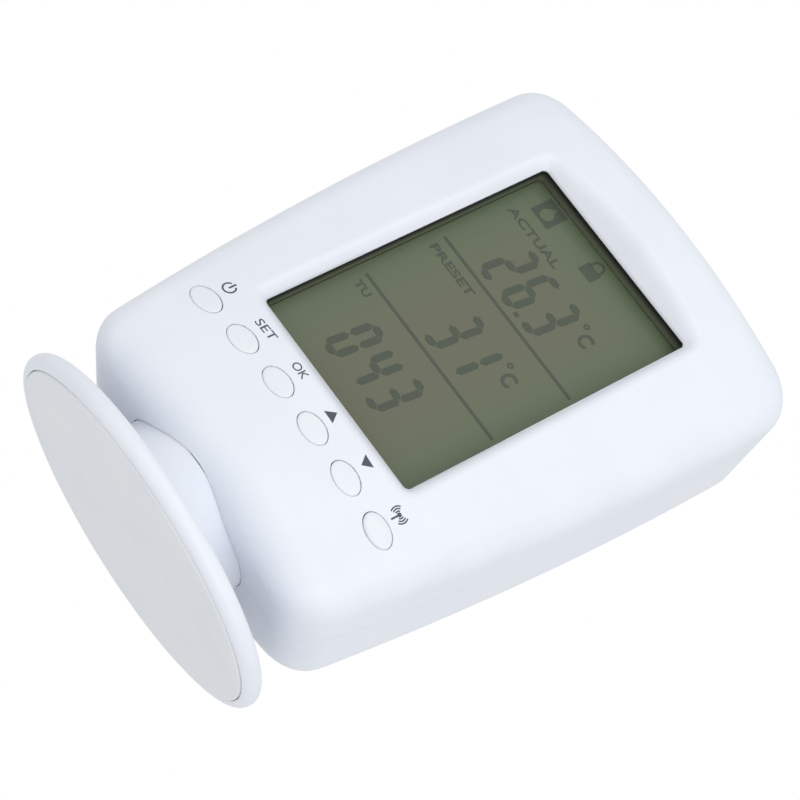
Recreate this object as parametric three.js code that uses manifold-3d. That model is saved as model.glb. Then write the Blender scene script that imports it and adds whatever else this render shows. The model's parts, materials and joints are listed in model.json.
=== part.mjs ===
// Programmable timer: a wireless room thermostat whose case turns on a round foot.
// Millimetres, +Z up, -Y towards the reader; the origin is the centre of the foot's resting face.
import * as THREE from "three";
import { mergeVertices } from "three/addons/utils/BufferGeometryUtils.js";
import Module from "manifold-3d";

// Display window and the case around it
const windowWidth = 41.7;
const windowHeight = 65;
const windowCorner = 1.7;
const windowDepth = 3.25; // from the window's rim back to the display glass
const pocketSlope = 3.4; // width of the sloped wall round the window
const crown = 4.1; // how far the case's front stands ahead of the window's rim
const frontRadius = 110; // the front is part of an upright cylinder
const sideRadius = 675; // the sides bow outwards a little
const topMargin = 16.3; // window to the top of the case
const keyDrop = 9.9; // window to the line of the keys
const chinDrop = 16.6; // line of the keys to the underside at the neck
const widestBelowTop = 9;
const keyRowMargin = 6.2; // outermost key to the side of the case
const rearDraft = 1.3; // the sides draw in towards the back
const wall = 2;
const lean = THREE.MathUtils.degToRad(15.95); // the case leans back on its foot

// Radii where the case's faces meet
const sideFrontRound = 8;
const sideRearRound = 9;
const topRound = { front: 7, side: 7, rear: 5 };
const underRound = { front: 9.5, side: 7, rear: 4.5 };

// Keys
const keyCount = 6;
const keyPitch = 10;
const keyWidth = 6.6;
const keyHeight = 4.5;
const keyProud = 0.25;
const keyTravel = 0.6;
const keyFlangeShare = 0.29; // a key's inner rim, as a share of the space to the next key
const keyFlangeThickness = 0.8;

// Foot and neck
const footDiameter = 68.4;
const footHeight = 3.9;
const footEdgeLift = 0.3; // the rim clears the table by this
const padMargin = 2.2; // the foot's rim to the pad
const padThickness = 1.2;
const ballastMargin = 5; // the pad's edge to the ballast plate's
const ballastThickness = 1;
const neckDiameter = 32.4;
const underClearance = 11.2; // table to the case's underside
const neckFrontLip = 4.1; // neck hole to the case's front
const neckRearLip = 5.2;
const neckRecess = 2; // depth of the round recess that the neck enters
const lipThickness = 1.6;
const lipWidth = 3.5; // how far the lip reaches in under the neck's head
const headThickness = 2;
const ringThickness = 0.5;
const neckScrewCircle = 10.5;
const neckScrewReach = 5; // how far the neck's screws enter it
const neckScrewHead = 0.9;
const neckRound = 0.7;
const neckBossWall = 1.7; // wall round the neck's hole
const neckBossDrop = 5; // how far that wall starts below the case, before it is cut to form
const headInset = 1.2; // the neck's head inside its own widest
const boreWall = 1.2;
const boreFloor = 2.8;
const footRimRound = 1.7;
const padRound = 0.3;

// Display stack and board
const glassBorder = 2.6;
const glassThickness = 2.2;
const guideThickness = 2.5;
const frameBorder = 2.3;
const gasketThickness = 0.45;
const gasketMargin = 1; // the gasket is narrower than the glass round the window
const gasketOverlap = 0.4; // the gasket outside the window
const stripHeight = 2.4;
const boardThickness = 1.6;
const boardEdge = 0.5; // board past the display frame or the outer switches
const switchSize = 4.5;
const switchBody = 2.3;
const plungerRadius = 1.5;
const plungerHeight = 0.7;
const plungerClearance = 0.1; // left between a pressed key and its plunger
const postRadius = 1.6;
const postClearance = 3; // display frame to the upper posts
const postMargin = 2.4; // a post's middle to the board's edge
const postInset = 4; // the board's side to a post's middle
const pilotDepth = 4; // depth of a post's screw hole

// Parts on the board: middle, width and height seen from ahead, and thickness
const processor = { x: -12, z: 9, width: 10, height: 10, thickness: 1.4 };
const crystal = { x: -2.25, z: 9, width: 3.5, height: 10, thickness: 2.2 };
const radioBoard = { x: 11, z: 17, width: 14, height: 18, thickness: 1 };
const radioCan = { x: 11, z: 15, width: 12, height: 12, thickness: 2 };
const capacitors = [
  { x: -14, z: 24, radius: 3.1, height: 5.4 },
  { x: -6, z: 24, radius: 2.5, height: 5 },
];
const sensor = { radius: 1.1, height: 4, tipRadius: 0.4, tipHeight: 6, inset: 3, aboveKeys: 8 };
const antenna = { radius: 0.6, standOff: 2.2, below: 4, inset: 7, drop: 26, bend: 12, round: 3 };

// Battery bay
const cellDiameter = 10.5;
const cellLength = 44.5;
const springLength = 4.6;
const contactThickness = 0.4;
const contactShare = 0.42; // half a contact plate's width, as a share of the cell's diameter
const cellClearance = 0.4; // a cell to the door, the tray's floor and the bay's middle
const cellPlay = 1.1; // spare length in the bay
const cellEdge = 0.5;
const nubRadius = 1.9; // a cell's plus end
const nubHeight = 0.9;
const bayClearance = 0.7; // a cell to the bay's side
const bayLift = 1; // the bay's middle above the case's
const springWire = 0.35; // radius
const springTurns = 3;
const springWideShare = 0.65; // the coil's radii, as shares of the cell's
const springNarrowShare = 0.325;
const trayWall = 1.2;
const bayFrame = 1.6; // thickness of the frame round the bay's opening
const doorThickness = 1.6;
const doorLedge = 2; // door past the bay's opening at each side
const doorPinRadius = 0.5;
const doorPinLength = 1;
const doorFrameWidth = 2.2; // frame outside the door
const grip = { halfWidth: 6, halfHeight: 2.2, depth: 0.7, below: 5 }; // finger dish in the door
const notch = { halfWidth: 3.2, depth: 0.6, height: 3 }; // for the snap under the door's upper edge

// Screws and bosses
const bossRadius = 2;
const rearBossRadius = 3.7;
const screwRadius = 0.9;
const headRadius = 2;
const headHeight = 1.6;
const counterboreDepth = 6;
const screwBelowTop = 14;
const screwAboveKeys = 16.4;
const bossSpacing = 0.2; // board to the case screws' bosses, past the gap
const slotDepth = 0.8;
const slotHalfWidth = 0.25;
const slotHalfLength = 1.1;
const boardScrewReach = 3.6;
const boardHeadHeight = 1.2;
const boardHeadInset = 0.3; // a board screw's head is smaller than a case screw's
const overlap = 0.5; // how far joined shapes run into each other

const gap = 0.3; // between neighbouring pieces
const cut = 1; // how far a cutting tool runs past a face

// Worked out from the sizes above
const neckRadius = neckDiameter / 2;
const holeRadius = neckRadius + gap;
const frontY = -crown;
const neckY = frontY + neckFrontLip + holeRadius * Math.cos(lean);
const backY = neckY + holeRadius * Math.cos(lean) + neckRearLip;
const bodyDepth = backY - frontY;
const splitY = neckY; // the two shells meet at the middle of the neck
const topZ = windowHeight / 2 + topMargin;
const keyZ = -windowHeight / 2 - keyDrop;
const underZ = keyZ - chinDrop;
const widestZ = topZ - widestBelowTop;
const rowHalf = (keyPitch * (keyCount - 1)) / 2 + keyWidth / 2;
const keyFlange = keyFlangeShare * (keyPitch - keyWidth);
const halfAtKeys = rowHalf + keyRowMargin;
const maxHalf = halfAtKeys + (widestZ - keyZ) ** 2 / (2 * sideRadius);
const glassHalfWidth = windowWidth / 2 + glassBorder;
const glassHalfHeight = windowHeight / 2 + glassBorder;
const glassY = windowDepth;
const guideY = glassY + glassThickness + gap;
const boardY = guideY + guideThickness + gap;
const boardBackY = boardY + boardThickness;
const frameHalfWidth = glassHalfWidth + frameBorder;
const frameHalfHeight = glassHalfHeight + frameBorder;
const boardHalfWidth = Math.max(frameHalfWidth, rowHalf - keyWidth / 2 + switchSize / 2) + boardEdge;
const keyEdgeZ = keyZ - keyHeight / 2 - keyFlange - gap;
const lowPostZ = keyEdgeZ - postRadius;
const highPostZ = frameHalfHeight + postClearance;
const boardLowZ = lowPostZ - postMargin;
const boardHighZ = highPostZ + postMargin;
const postX = Math.min(boardHalfWidth - postInset, 2 * keyPitch);
const caseScrewX = boardHalfWidth + gap + bossRadius + bossSpacing;
const caseScrewZ = [topZ - screwBelowTop, keyZ + screwAboveKeys];
const cellX = cellDiameter / 2 + cellClearance;
const bayWidth = 2 * (cellX + cellDiameter / 2 + bayClearance);
const bayLength = cellLength + springLength + 2 * contactThickness + cellPlay;
const bayZ = (topZ + underZ) / 2 + bayLift;
const doorOuterY = backY;
const doorInnerY = doorOuterY - doorThickness;
const ledgeY = doorInnerY - gap;
const frameInnerY = ledgeY - bayFrame;
const cellY = doorInnerY - cellClearance - cellDiameter / 2;
const doorHalfWidth = bayWidth / 2 + doorLedge;
const doorHalfHeight = bayLength / 2 + doorLedge;
const screwHeadY = backY - counterboreDepth;
const neckBaseZ = footHeight + gap;
const recessZ = underClearance + neckRecess;
const ringZ = recessZ - gap - ringThickness;
const shoulderZ = ringZ - gap;
const lipTopZ = recessZ + lipThickness;
const stemRadius = neckRadius - lipWidth;
const headDiscRadius = neckRadius - headInset;
const headZ = lipTopZ + gap;
const padDiameter = footDiameter - 2 * padMargin;
const ballastDiameter = padDiameter - 2 * ballastMargin;

const wasm = await Module();
wasm.setup();

// solids

function solidOf(geometry) {
  const bare = geometry.clone();
  bare.deleteAttribute("normal");
  bare.deleteAttribute("uv");
  const merged = mergeVertices(bare, 1e-4);
  const vertProperties = merged.attributes.position.array;
  const triVerts = new Uint32Array(merged.index.array);
  return new wasm.Manifold(new wasm.Mesh({ numProp: 3, vertProperties, triVerts }));
}

function geometryOf(solid) {
  const mesh = solid.getMesh();
  const count = mesh.vertProperties.length / mesh.numProp;
  const places = new Float32Array(count * 3);
  for (let i = 0; i < count; i++) {
    places.set(mesh.vertProperties.subarray(i * mesh.numProp, i * mesh.numProp + 3), i * 3);
  }
  const geometry = new THREE.BufferGeometry();
  geometry.setAttribute("position", new THREE.BufferAttribute(places, 3));
  geometry.setIndex(new THREE.BufferAttribute(new Uint32Array(mesh.triVerts), 1));
  geometry.computeVertexNormals();
  return geometry;
}

// A box between two opposite corners.
function box(x0, x1, y0, y1, z0, z1) {
  const geometry = new THREE.BoxGeometry(x1 - x0, y1 - y0, z1 - z0);
  geometry.translate((x0 + x1) / 2, (y0 + y1) / 2, (z0 + z1) / 2);
  return solidOf(geometry);
}

// A round bar along Y, from y0 to y1.
function barY(radius, x, z, y0, y1, sides = 20) {
  const geometry = new THREE.CylinderGeometry(radius, radius, y1 - y0, sides);
  geometry.translate(x, (y0 + y1) / 2, z);
  return solidOf(geometry);
}

// A round bar along X, from x0 to x1.
function barX(radius, y, z, x0, x1, sides = 14) {
  const geometry = new THREE.CylinderGeometry(radius, radius, x1 - x0, sides);
  geometry.rotateZ(Math.PI / 2);
  geometry.translate((x0 + x1) / 2, y, z);
  return solidOf(geometry);
}

// A solid turned about Z from [radius, height] points that start and end on the axis.
function turned(points, sides = 48) {
  const profile = points.map(([r, z]) => new THREE.Vector2(r, z));
  const geometry = new THREE.LatheGeometry(profile, sides);
  geometry.rotateX(Math.PI / 2);
  return solidOf(geometry);
}

// A ring turned about Z, of square section.
function ring(inner, outer, z0, z1, sides = 48) {
  return turned([[inner, z0], [outer, z0], [outer, z1], [inner, z1], [inner, z0]], sides);
}

function roundedRectangle(halfWidth, halfHeight, radius) {
  const shape = new THREE.Shape();
  const x = halfWidth - radius;
  const z = halfHeight - radius;
  shape.absarc(x, z, radius, 0, Math.PI / 2);
  shape.absarc(-x, z, radius, Math.PI / 2, Math.PI);
  shape.absarc(-x, -z, radius, Math.PI, 1.5 * Math.PI);
  shape.absarc(x, -z, radius, 1.5 * Math.PI, 2 * Math.PI);
  return shape;
}

function oval(halfWidth, halfHeight) {
  const shape = new THREE.Shape();
  shape.absellipse(0, 0, halfWidth, halfHeight, 0, 2 * Math.PI);
  return shape;
}

// A shape drawn in x and z, carried along Y from y0 to y1.
function slab(shape, y0, y1, x = 0, z = 0, curveSegments = 5) {
  const geometry = new THREE.ExtrudeGeometry(shape, { depth: y1 - y0, bevelEnabled: false, curveSegments });
  geometry.rotateX(Math.PI / 2);
  geometry.translate(x, y1, z);
  return solidOf(geometry);
}

// A rounded rectangle that widens evenly from its back, y1, to its front, y0.
function funnel(halfWidth, halfHeight, radius, widening, y0, y1) {
  const geometry = new THREE.ExtrudeGeometry(roundedRectangle(halfWidth, halfHeight, radius), {
    depth: y1 - y0,
    bevelEnabled: false,
    curveSegments: 5,
  });
  geometry.rotateX(Math.PI / 2);
  geometry.translate(0, y1, 0);
  const place = geometry.attributes.position;
  for (let i = 0; i < place.count; i++) {
    const share = (y1 - place.getY(i)) / (y1 - y0);
    place.setX(i, place.getX(i) * (1 + (share * widening) / halfWidth));
    place.setZ(i, place.getZ(i) * (1 + (share * widening) / halfHeight));
  }
  return solidOf(geometry);
}

// the case's outer form, and the same form set in by a wall

const frontSag = (x) => frontRadius - Math.sqrt(frontRadius ** 2 - x ** 2);

const halfWidthAt = (z) => maxHalf - (widestZ - z) ** 2 / (2 * sideRadius);

// How far a face draws in at a distance d from an end that is rounded by radius r.
const drawIn = (d, r) => (d >= r ? 0 : r - Math.sqrt(r * r - (r - Math.max(d, 0)) ** 2));

// The case's section seen from above: front arc, rounded sides, flat back.
function caseSection(inset) {
  const half = maxHalf - inset;
  const front = frontRadius - inset;
  const frontRound = Math.max(sideFrontRound - inset, 1);
  const rearRound = Math.max(sideRearRound - inset, 1);
  const centreY = frontY + frontRadius;
  const cornerX = half - frontRound;
  const cornerY = centreY - Math.sqrt((front - frontRound) ** 2 - cornerX ** 2);
  const meet = Math.atan2(cornerY - centreY, cornerX);
  const rearX = half - rearDraft - rearRound;
  const rearY = backY - inset - rearRound;
  const shape = new THREE.Shape();
  shape.absarc(0, centreY, front, -Math.PI - meet, -Math.PI / 2);
  shape.absarc(0, centreY, front, -Math.PI / 2, meet);
  shape.absarc(cornerX, cornerY, frontRound, meet, 0);
  shape.absarc(rearX, rearY, rearRound, 0, Math.PI / 2);
  shape.absarc(-rearX, rearY, rearRound, Math.PI / 2, Math.PI);
  shape.absarc(-cornerX, cornerY, frontRound, Math.PI, Math.PI - meet);
  return shape;
}

// Heights of the section's copies, close together where the ends are rounded.
function caseRows(low, high, lowRadius, highRadius, turns) {
  const rows = [];
  const middle = 5;
  for (let i = 0; i < turns; i++) rows.push(low + lowRadius * (1 - Math.cos((i / turns) * (Math.PI / 2))));
  for (let i = 0; i <= middle; i++) {
    rows.push(low + lowRadius + ((high - highRadius - low - lowRadius) * i) / middle);
  }
  for (let i = turns - 1; i >= 0; i--) rows.push(high - highRadius * (1 - Math.cos((i / turns) * (Math.PI / 2))));
  return rows;
}

function shrink(round, inset) {
  const least = 0.8;
  return {
    front: Math.max(round.front - inset, least),
    side: Math.max(round.side - inset, least),
    rear: Math.max(round.rear - inset, least),
  };
}

// The case's form: sections along its height, drawn in at both ends, and sheared so that its
// underside lies level when the case leans back.
function caseForm(inset, fineness) {
  const low = underZ + inset;
  const high = topZ - inset;
  const under = shrink(underRound, inset);
  const top = shrink(topRound, inset);
  const rows = caseRows(low, high, under.front, top.front, 2 * fineness);
  const geometry = new THREE.ExtrudeGeometry(caseSection(inset), {
    depth: rows.length - 1,
    steps: rows.length - 1,
    bevelEnabled: false,
    curveSegments: fineness,
  });
  const place = geometry.attributes.position;
  const front = frontY + inset;
  const depth = bodyDepth - 2 * inset;
  for (let i = 0; i < place.count; i++) {
    const z = rows[Math.round(place.getZ(i))];
    const fromLow = z - low;
    const fromHigh = high - z;
    const side = Math.max(drawIn(fromLow, under.side), drawIn(fromHigh, top.side));
    const back = Math.max(drawIn(fromLow, under.rear), drawIn(fromHigh, top.rear));
    const ahead = Math.max(drawIn(fromLow, under.front), drawIn(fromHigh, top.front));
    const share = (place.getY(i) - front) / depth;
    const x = (place.getX(i) * (halfWidthAt(z) - inset - side)) / (maxHalf - inset);
    const level = frontSag(x) - frontSag(place.getX(i)); // keeps the front one cylinder at every height
    const y = place.getY(i) + (1 - share) * (ahead + level) - share * back;
    const shear = (Math.tan(lean) * (high - z)) / (high - low);
    place.setXYZ(i, x, y, z + shear * (y - neckY));
  }
  return solidOf(geometry);
}

// where the leaning case stands on the foot

const caseGroup = new THREE.Group();
caseGroup.rotation.x = -lean;
caseGroup.position
  .set(0, -neckY, -underZ)
  .applyAxisAngle(new THREE.Vector3(1, 0, 0), -lean)
  .add(new THREE.Vector3(0, 0, underClearance));
caseGroup.updateMatrixWorld(true);
const intoCase = caseGroup.matrixWorld.clone().invert();

// A turned solid of the upright foot, given in the leaning case's own frame.
function turnedInCase(points, sides = 48) {
  const geometry = geometryOf(turned(points, sides));
  geometry.applyMatrix4(intoCase);
  return solidOf(geometry);
}

const outerForm = caseForm(0, 3);
const innerForm = caseForm(wall, 2);
const wide = maxHalf + 10;
const tall = topZ - underZ + 40;

const neckBoss = turnedInCase([
  [0, underClearance - neckBossDrop],
  [holeRadius + neckBossWall, underClearance - neckBossDrop],
  [holeRadius + neckBossWall, lipTopZ],
  [0, lipTopZ],
]);
const neckHole = turnedInCase([
  [0, underClearance - neckBossDrop - cut],
  [holeRadius, underClearance - neckBossDrop - cut],
  [holeRadius, recessZ],
  [stemRadius + gap, recessZ],
  [stemRadius + gap, lipTopZ + cut],
  [0, lipTopZ + cut],
]);

const keyX = (i) => (i - (keyCount - 1) / 2) * keyPitch;
const mirrored = (list) => list.flatMap(([x, z]) => [[x, z], [-x, z]]);
const caseScrewSpots = mirrored(caseScrewZ.map((z) => [caseScrewX, z]));
const postSpots = mirrored([[postX, highPostZ], [postX, lowPostZ]]);

// front and rear shells

function frontCover() {
  const surroundBack = glassY - 2 * gap - gasketThickness;
  const surround = funnel(
    windowWidth / 2 + wall, windowHeight / 2 + wall, windowCorner + wall,
    pocketSlope, frontY - cut, surroundBack,
  );
  let solid = outerForm.subtract(innerForm).add(surround).add(neckBoss);
  for (const [x, z] of caseScrewSpots) solid = solid.add(barY(bossRadius, x, z, frontY, splitY));
  for (const [x, z] of postSpots) solid = solid.add(barY(postRadius, x, z, frontY, boardY - gap));
  solid = solid.intersect(outerForm).intersect(box(-wide, wide, frontY - cut, splitY - gap / 2, -tall, tall));
  const depth = crown + cut;
  const opening = pocketSlope * (depth / crown);
  solid = solid.subtract(funnel(windowWidth / 2, windowHeight / 2, windowCorner, opening, -depth, 0));
  const window = roundedRectangle(windowWidth / 2, windowHeight / 2, windowCorner);
  solid = solid.subtract(slab(window, -depth, surroundBack + cut));
  for (let i = 0; i < keyCount; i++) {
    const hole = oval(keyWidth / 2 + gap, keyHeight / 2 + gap);
    solid = solid.subtract(slab(hole, frontY - cut, boardY, keyX(i), keyZ, 8));
  }
  for (const [x, z] of caseScrewSpots) {
    solid = solid.subtract(barY(screwRadius + gap, x, z, boardBackY, splitY + cut, 12));
  }
  for (const [x, z] of postSpots) {
    solid = solid.subtract(barY(screwRadius + gap, x, z, boardY - pilotDepth, boardY + cut, 12));
  }
  return solid.subtract(neckHole);
}

const doorHingeZ = bayZ - doorHalfHeight + doorThickness / 2;
const doorHingeY = doorOuterY - doorThickness / 2;

function rearCover() {
  let solid = outerForm.subtract(innerForm).add(neckBoss);
  for (const [x, z] of caseScrewSpots) solid = solid.add(barY(rearBossRadius, x, z, splitY, backY));
  const frameX = doorHalfWidth + doorFrameWidth;
  const frameZ = doorHalfHeight + doorFrameWidth;
  solid = solid.add(box(-frameX, frameX, frameInnerY, backY - wall / 2, bayZ - frameZ, bayZ + frameZ));
  solid = solid.intersect(outerForm).intersect(box(-wide, wide, splitY + gap / 2, backY + cut, -tall, tall));
  const recessX = doorHalfWidth + gap;
  const recessZ0 = bayZ - doorHalfHeight - gap;
  solid = solid.subtract(box(-recessX, recessX, ledgeY, backY + cut, recessZ0, bayZ + doorHalfHeight + gap));
  const bayX = bayWidth / 2;
  const bayHalf = bayLength / 2;
  solid = solid.subtract(box(-bayX, bayX, frameInnerY - cut, backY, bayZ - bayHalf, bayZ + bayHalf));
  for (const side of [-1, 1]) {
    const inner = side * (doorHalfWidth - cut);
    const outer = side * (doorHalfWidth + gap + doorPinLength);
    const ends = [inner, outer].sort((a, b) => a - b);
    solid = solid.subtract(barX(doorPinRadius + gap, doorHingeY, doorHingeZ, ends[0], ends[1]));
  }
  for (const [x, z] of caseScrewSpots) {
    solid = solid.subtract(barY(screwRadius + gap, x, z, splitY - cut, backY + cut, 12));
    solid = solid.subtract(barY(headRadius + gap, x, z, screwHeadY, backY + cut, 16));
  }
  return solid.subtract(neckHole);
}

// battery bay

function batteryDoor() {
  const z1 = bayZ + doorHalfHeight;
  let solid = box(-doorHalfWidth, doorHalfWidth, doorInnerY, doorOuterY, doorHingeZ, z1);
  solid = solid.add(barX(doorThickness / 2, doorHingeY, doorHingeZ, -doorHalfWidth, doorHalfWidth, 16));
  for (const side of [-1, 1]) {
    const ends = [side * (doorHalfWidth - cut), side * (doorHalfWidth + doorPinLength)].sort((a, b) => a - b);
    solid = solid.add(barX(doorPinRadius, doorHingeY, doorHingeZ, ends[0], ends[1], 12));
  }
  const dish = oval(grip.halfWidth, grip.halfHeight);
  const { halfWidth } = notch;
  solid = solid.subtract(slab(dish, doorOuterY - grip.depth, doorOuterY + cut, 0, z1 - grip.below, 8));
  return solid.subtract(
    box(-halfWidth, halfWidth, doorInnerY - cut, doorInnerY + notch.depth, z1 - notch.height, z1 + cut),
  );
}

const trayFloorY = cellY - cellDiameter / 2 - cellClearance;

function batteryTray() {
  const outer = box(
    -bayWidth / 2 - trayWall, bayWidth / 2 + trayWall,
    trayFloorY - trayWall, frameInnerY - gap,
    bayZ - bayLength / 2 - trayWall, bayZ + bayLength / 2 + trayWall,
  );
  const inner = box(
    -bayWidth / 2, bayWidth / 2, trayFloorY, frameInnerY + cut, bayZ - bayLength / 2, bayZ + bayLength / 2,
  );
  return outer.subtract(inner);
}

const cellCanLength = cellLength - nubHeight;
const contactReach = contactThickness + gap;
const contactHalf = contactShare * cellDiameter;

// A cell along Z with its plus end up or down; the spring takes the other end of the bay.
function batteryCell(up) {
  const radius = cellDiameter / 2;
  const geometry = geometryOf(turned([
    [0, 0],
    [radius - cellEdge, 0],
    [radius, cellEdge],
    [radius, cellCanLength - cellEdge],
    [radius - cellEdge, cellCanLength],
    [nubRadius, cellCanLength],
    [nubRadius, cellLength],
    [0, cellLength],
  ], 24));
  const plusEnd = bayLength / 2 - contactReach - gap;
  if (up) geometry.translate(0, 0, plusEnd - cellLength);
  else geometry.rotateX(Math.PI).translate(0, 0, cellLength - plusEnd);
  return geometry;
}

// A flat spring plate at one end of the bay, across one cell or both.
function contactPlate(x0, x1, end) {
  const z0 = bayZ + end * (bayLength / 2 - gap);
  const z1 = z0 - end * contactThickness;
  return box(x0, x1, cellY - contactHalf, frameInnerY - gap / 2, Math.min(z0, z1), Math.max(z0, z1));
}

// A cone-shaped coil that presses on a cell's minus end.
function coilSpring(end) {
  const steps = 10; // to each turn
  const length = springLength - 2 * gap - 2 * springWire;
  const wide = (springWideShare * cellDiameter) / 2;
  const narrow = (springNarrowShare * cellDiameter) / 2;
  const points = [];
  for (let i = 0; i <= springTurns * steps; i++) {
    const share = i / (springTurns * steps);
    const radius = wide + (narrow - wide) * share;
    const angle = share * springTurns * 2 * Math.PI;
    points.push(new THREE.Vector3(radius * Math.cos(angle), radius * Math.sin(angle), share * length));
  }
  const section = new THREE.Shape();
  section.absarc(0, 0, springWire, 0, 2 * Math.PI);
  const geometry = new THREE.ExtrudeGeometry(section, {
    steps: springTurns * steps,
    curveSegments: 3,
    extrudePath: new THREE.CatmullRomCurve3(points),
  });
  const start = bayLength / 2 - contactReach - gap - springWire;
  if (end > 0) geometry.rotateX(Math.PI).translate(0, 0, start);
  else geometry.translate(0, 0, -start);
  return geometry;
}

// display stack and electronics

function frameAround(halfWidth, halfHeight, border, y0, y1) {
  const outer = box(-halfWidth - border, halfWidth + border, y0, y1, -halfHeight - border, halfHeight + border);
  return outer.subtract(box(-halfWidth, halfWidth, y0 - cut, y1 + cut, -halfHeight, halfHeight));
}

function mainBoard() {
  let solid = box(-boardHalfWidth, boardHalfWidth, boardY, boardBackY, boardLowZ, boardHighZ);
  for (const [x, z] of postSpots) {
    solid = solid.subtract(barY(screwRadius + gap, x, z, boardY - cut, boardBackY + cut, 12));
  }
  return solid;
}

const switchBackY = boardY - gap;
const plungerTipY = switchBackY - switchBody - plungerHeight;
const stemTipY = plungerTipY - keyTravel - plungerClearance;
const flangeEdgeX = rowHalf + keyFlange;
const innerRound = drawIn(halfAtKeys - wall - flangeEdgeX, sideFrontRound - wall);
const flangeY = frontY + frontSag(flangeEdgeX) + innerRound + wall + 1.5 * gap;

function tactSwitch(x) {
  const half = switchSize / 2;
  const body = box(x - half, x + half, switchBackY - switchBody, switchBackY, keyZ - half, keyZ + half);
  return body.add(barY(plungerRadius, x, keyZ, plungerTipY, switchBackY - overlap, 12));
}

// An oval key: its face follows the case's front, and its flange sits behind the front wall.
function keyCap(x) {
  const face = new THREE.CylinderGeometry(frontRadius + keyProud, frontRadius + keyProud, 40, 512, 1, false);
  face.rotateX(Math.PI / 2);
  face.translate(0, frontY + frontRadius, keyZ);
  let solid = slab(oval(keyWidth / 2, keyHeight / 2), frontY - cut, flangeY + keyFlangeThickness, x, keyZ, 8);
  const flange = oval(keyWidth / 2 + keyFlange, keyHeight / 2 + keyFlange);
  solid = solid.intersect(solidOf(face));
  solid = solid.add(slab(flange, flangeY, flangeY + keyFlangeThickness, x, keyZ, 8));
  return solid.add(barY(plungerRadius, x, keyZ, flangeY, stemTipY, 12));
}

function boardScrew(x, z) {
  const shankEnd = boardY - boardScrewReach;
  const seat = boardBackY + gap;
  const head = barY(headRadius - boardHeadInset, x, z, seat, seat + boardHeadHeight, 14);
  return barY(screwRadius, x, z, shankEnd, seat + overlap, 10).add(head);
}

function caseScrew(x, z) {
  const seat = screwHeadY + gap;
  const head = barY(headRadius, x, z, seat, seat + headHeight, 16);
  const floor = seat + slotDepth;
  const end = seat + headHeight + cut;
  const long = slotHalfLength;
  const thin = slotHalfWidth;
  const slotA = box(x - long, x + long, floor, end, z - thin, z + thin);
  const slotB = box(x - thin, x + thin, floor, end, z - long, z + long);
  return barY(screwRadius, x, z, boardBackY + 1, seat + overlap, 10).add(head).subtract(slotA).subtract(slotB);
}

function antennaWire() {
  const { drop, bend, round } = antenna;
  const y = boardBackY + antenna.standOff;
  const top = boardHighZ - antenna.below;
  const reach = boardHalfWidth - antenna.inset;
  const points = [
    [reach, top - drop], [reach, top - bend], [reach, top - round], [reach - round, top], [0, top], [-reach, top],
  ];
  const path = new THREE.CatmullRomCurve3(points.map(([x, z]) => new THREE.Vector3(x, y, z)), false, "centripetal");
  const section = new THREE.Shape();
  section.absarc(0, 0, antenna.radius, 0, 2 * Math.PI);
  return new THREE.ExtrudeGeometry(section, { steps: 24, curveSegments: 4, extrudePath: path });
}

// foot

function footDisc() {
  const radius = footDiameter / 2;
  const middle = (footHeight + footEdgeLift) / 2;
  const halfEdge = (footHeight - footEdgeLift) / 2;
  const recessRadius = padDiameter / 2 + gap;
  const ballastRadius = ballastDiameter / 2 + gap;
  const padTop = padThickness + gap;
  const webZ = padTop + ballastThickness + gap;
  const points = [[0, webZ], [ballastRadius, webZ], [ballastRadius, padTop], [recessRadius, padTop]];
  points.push([recessRadius, footEdgeLift]);
  const turns = 6;
  const edge = Math.min(footRimRound, 0.97 * halfEdge); // leaves a narrow flat on the rim
  for (let i = 0; i <= turns; i++) {
    const angle = -Math.PI / 2 + (Math.PI * i) / turns;
    const stretch = Math.sign(Math.round(Math.sin(angle) * 1e6)) * (halfEdge - edge);
    points.push([radius - edge + edge * Math.cos(angle), middle + stretch + edge * Math.sin(angle)]);
  }
  points.push([0, footHeight]);
  let solid = turned(points, 60);
  for (const [x, y] of neckScrewSpots) {
    solid = solid.subtract(upright(screwRadius + gap, x, y, webZ - cut, footHeight + cut, 12));
  }
  return solid;
}

const neckScrewSpots = [0, 1, 2].map((i) => {
  const angle = Math.PI / 2 + (i * 2 * Math.PI) / 3;
  return [neckScrewCircle * Math.cos(angle), neckScrewCircle * Math.sin(angle)];
});

function upright(radius, x, y, z0, z1, sides) {
  const geometry = new THREE.CylinderGeometry(radius, radius, z1 - z0, sides);
  geometry.rotateX(Math.PI / 2);
  geometry.translate(x, y, (z0 + z1) / 2);
  return solidOf(geometry);
}

function ballastPlate() {
  const z0 = padThickness + gap;
  let solid = turned([[0, z0], [ballastDiameter / 2, z0], [ballastDiameter / 2, z0 + ballastThickness],
    [0, z0 + ballastThickness]]);
  for (const [x, y] of neckScrewSpots) {
    solid = solid.subtract(upright(headRadius + gap, x, y, z0 - cut, z0 + ballastThickness + cut, 16));
  }
  return solid;
}

function neckScrew(x, y) {
  const seat = padThickness + gap + ballastThickness;
  const head = upright(headRadius, x, y, seat - neckScrewHead, seat, 16);
  return head.add(upright(screwRadius, x, y, seat - overlap, neckBaseZ + neckScrewReach, 10));
}

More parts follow.
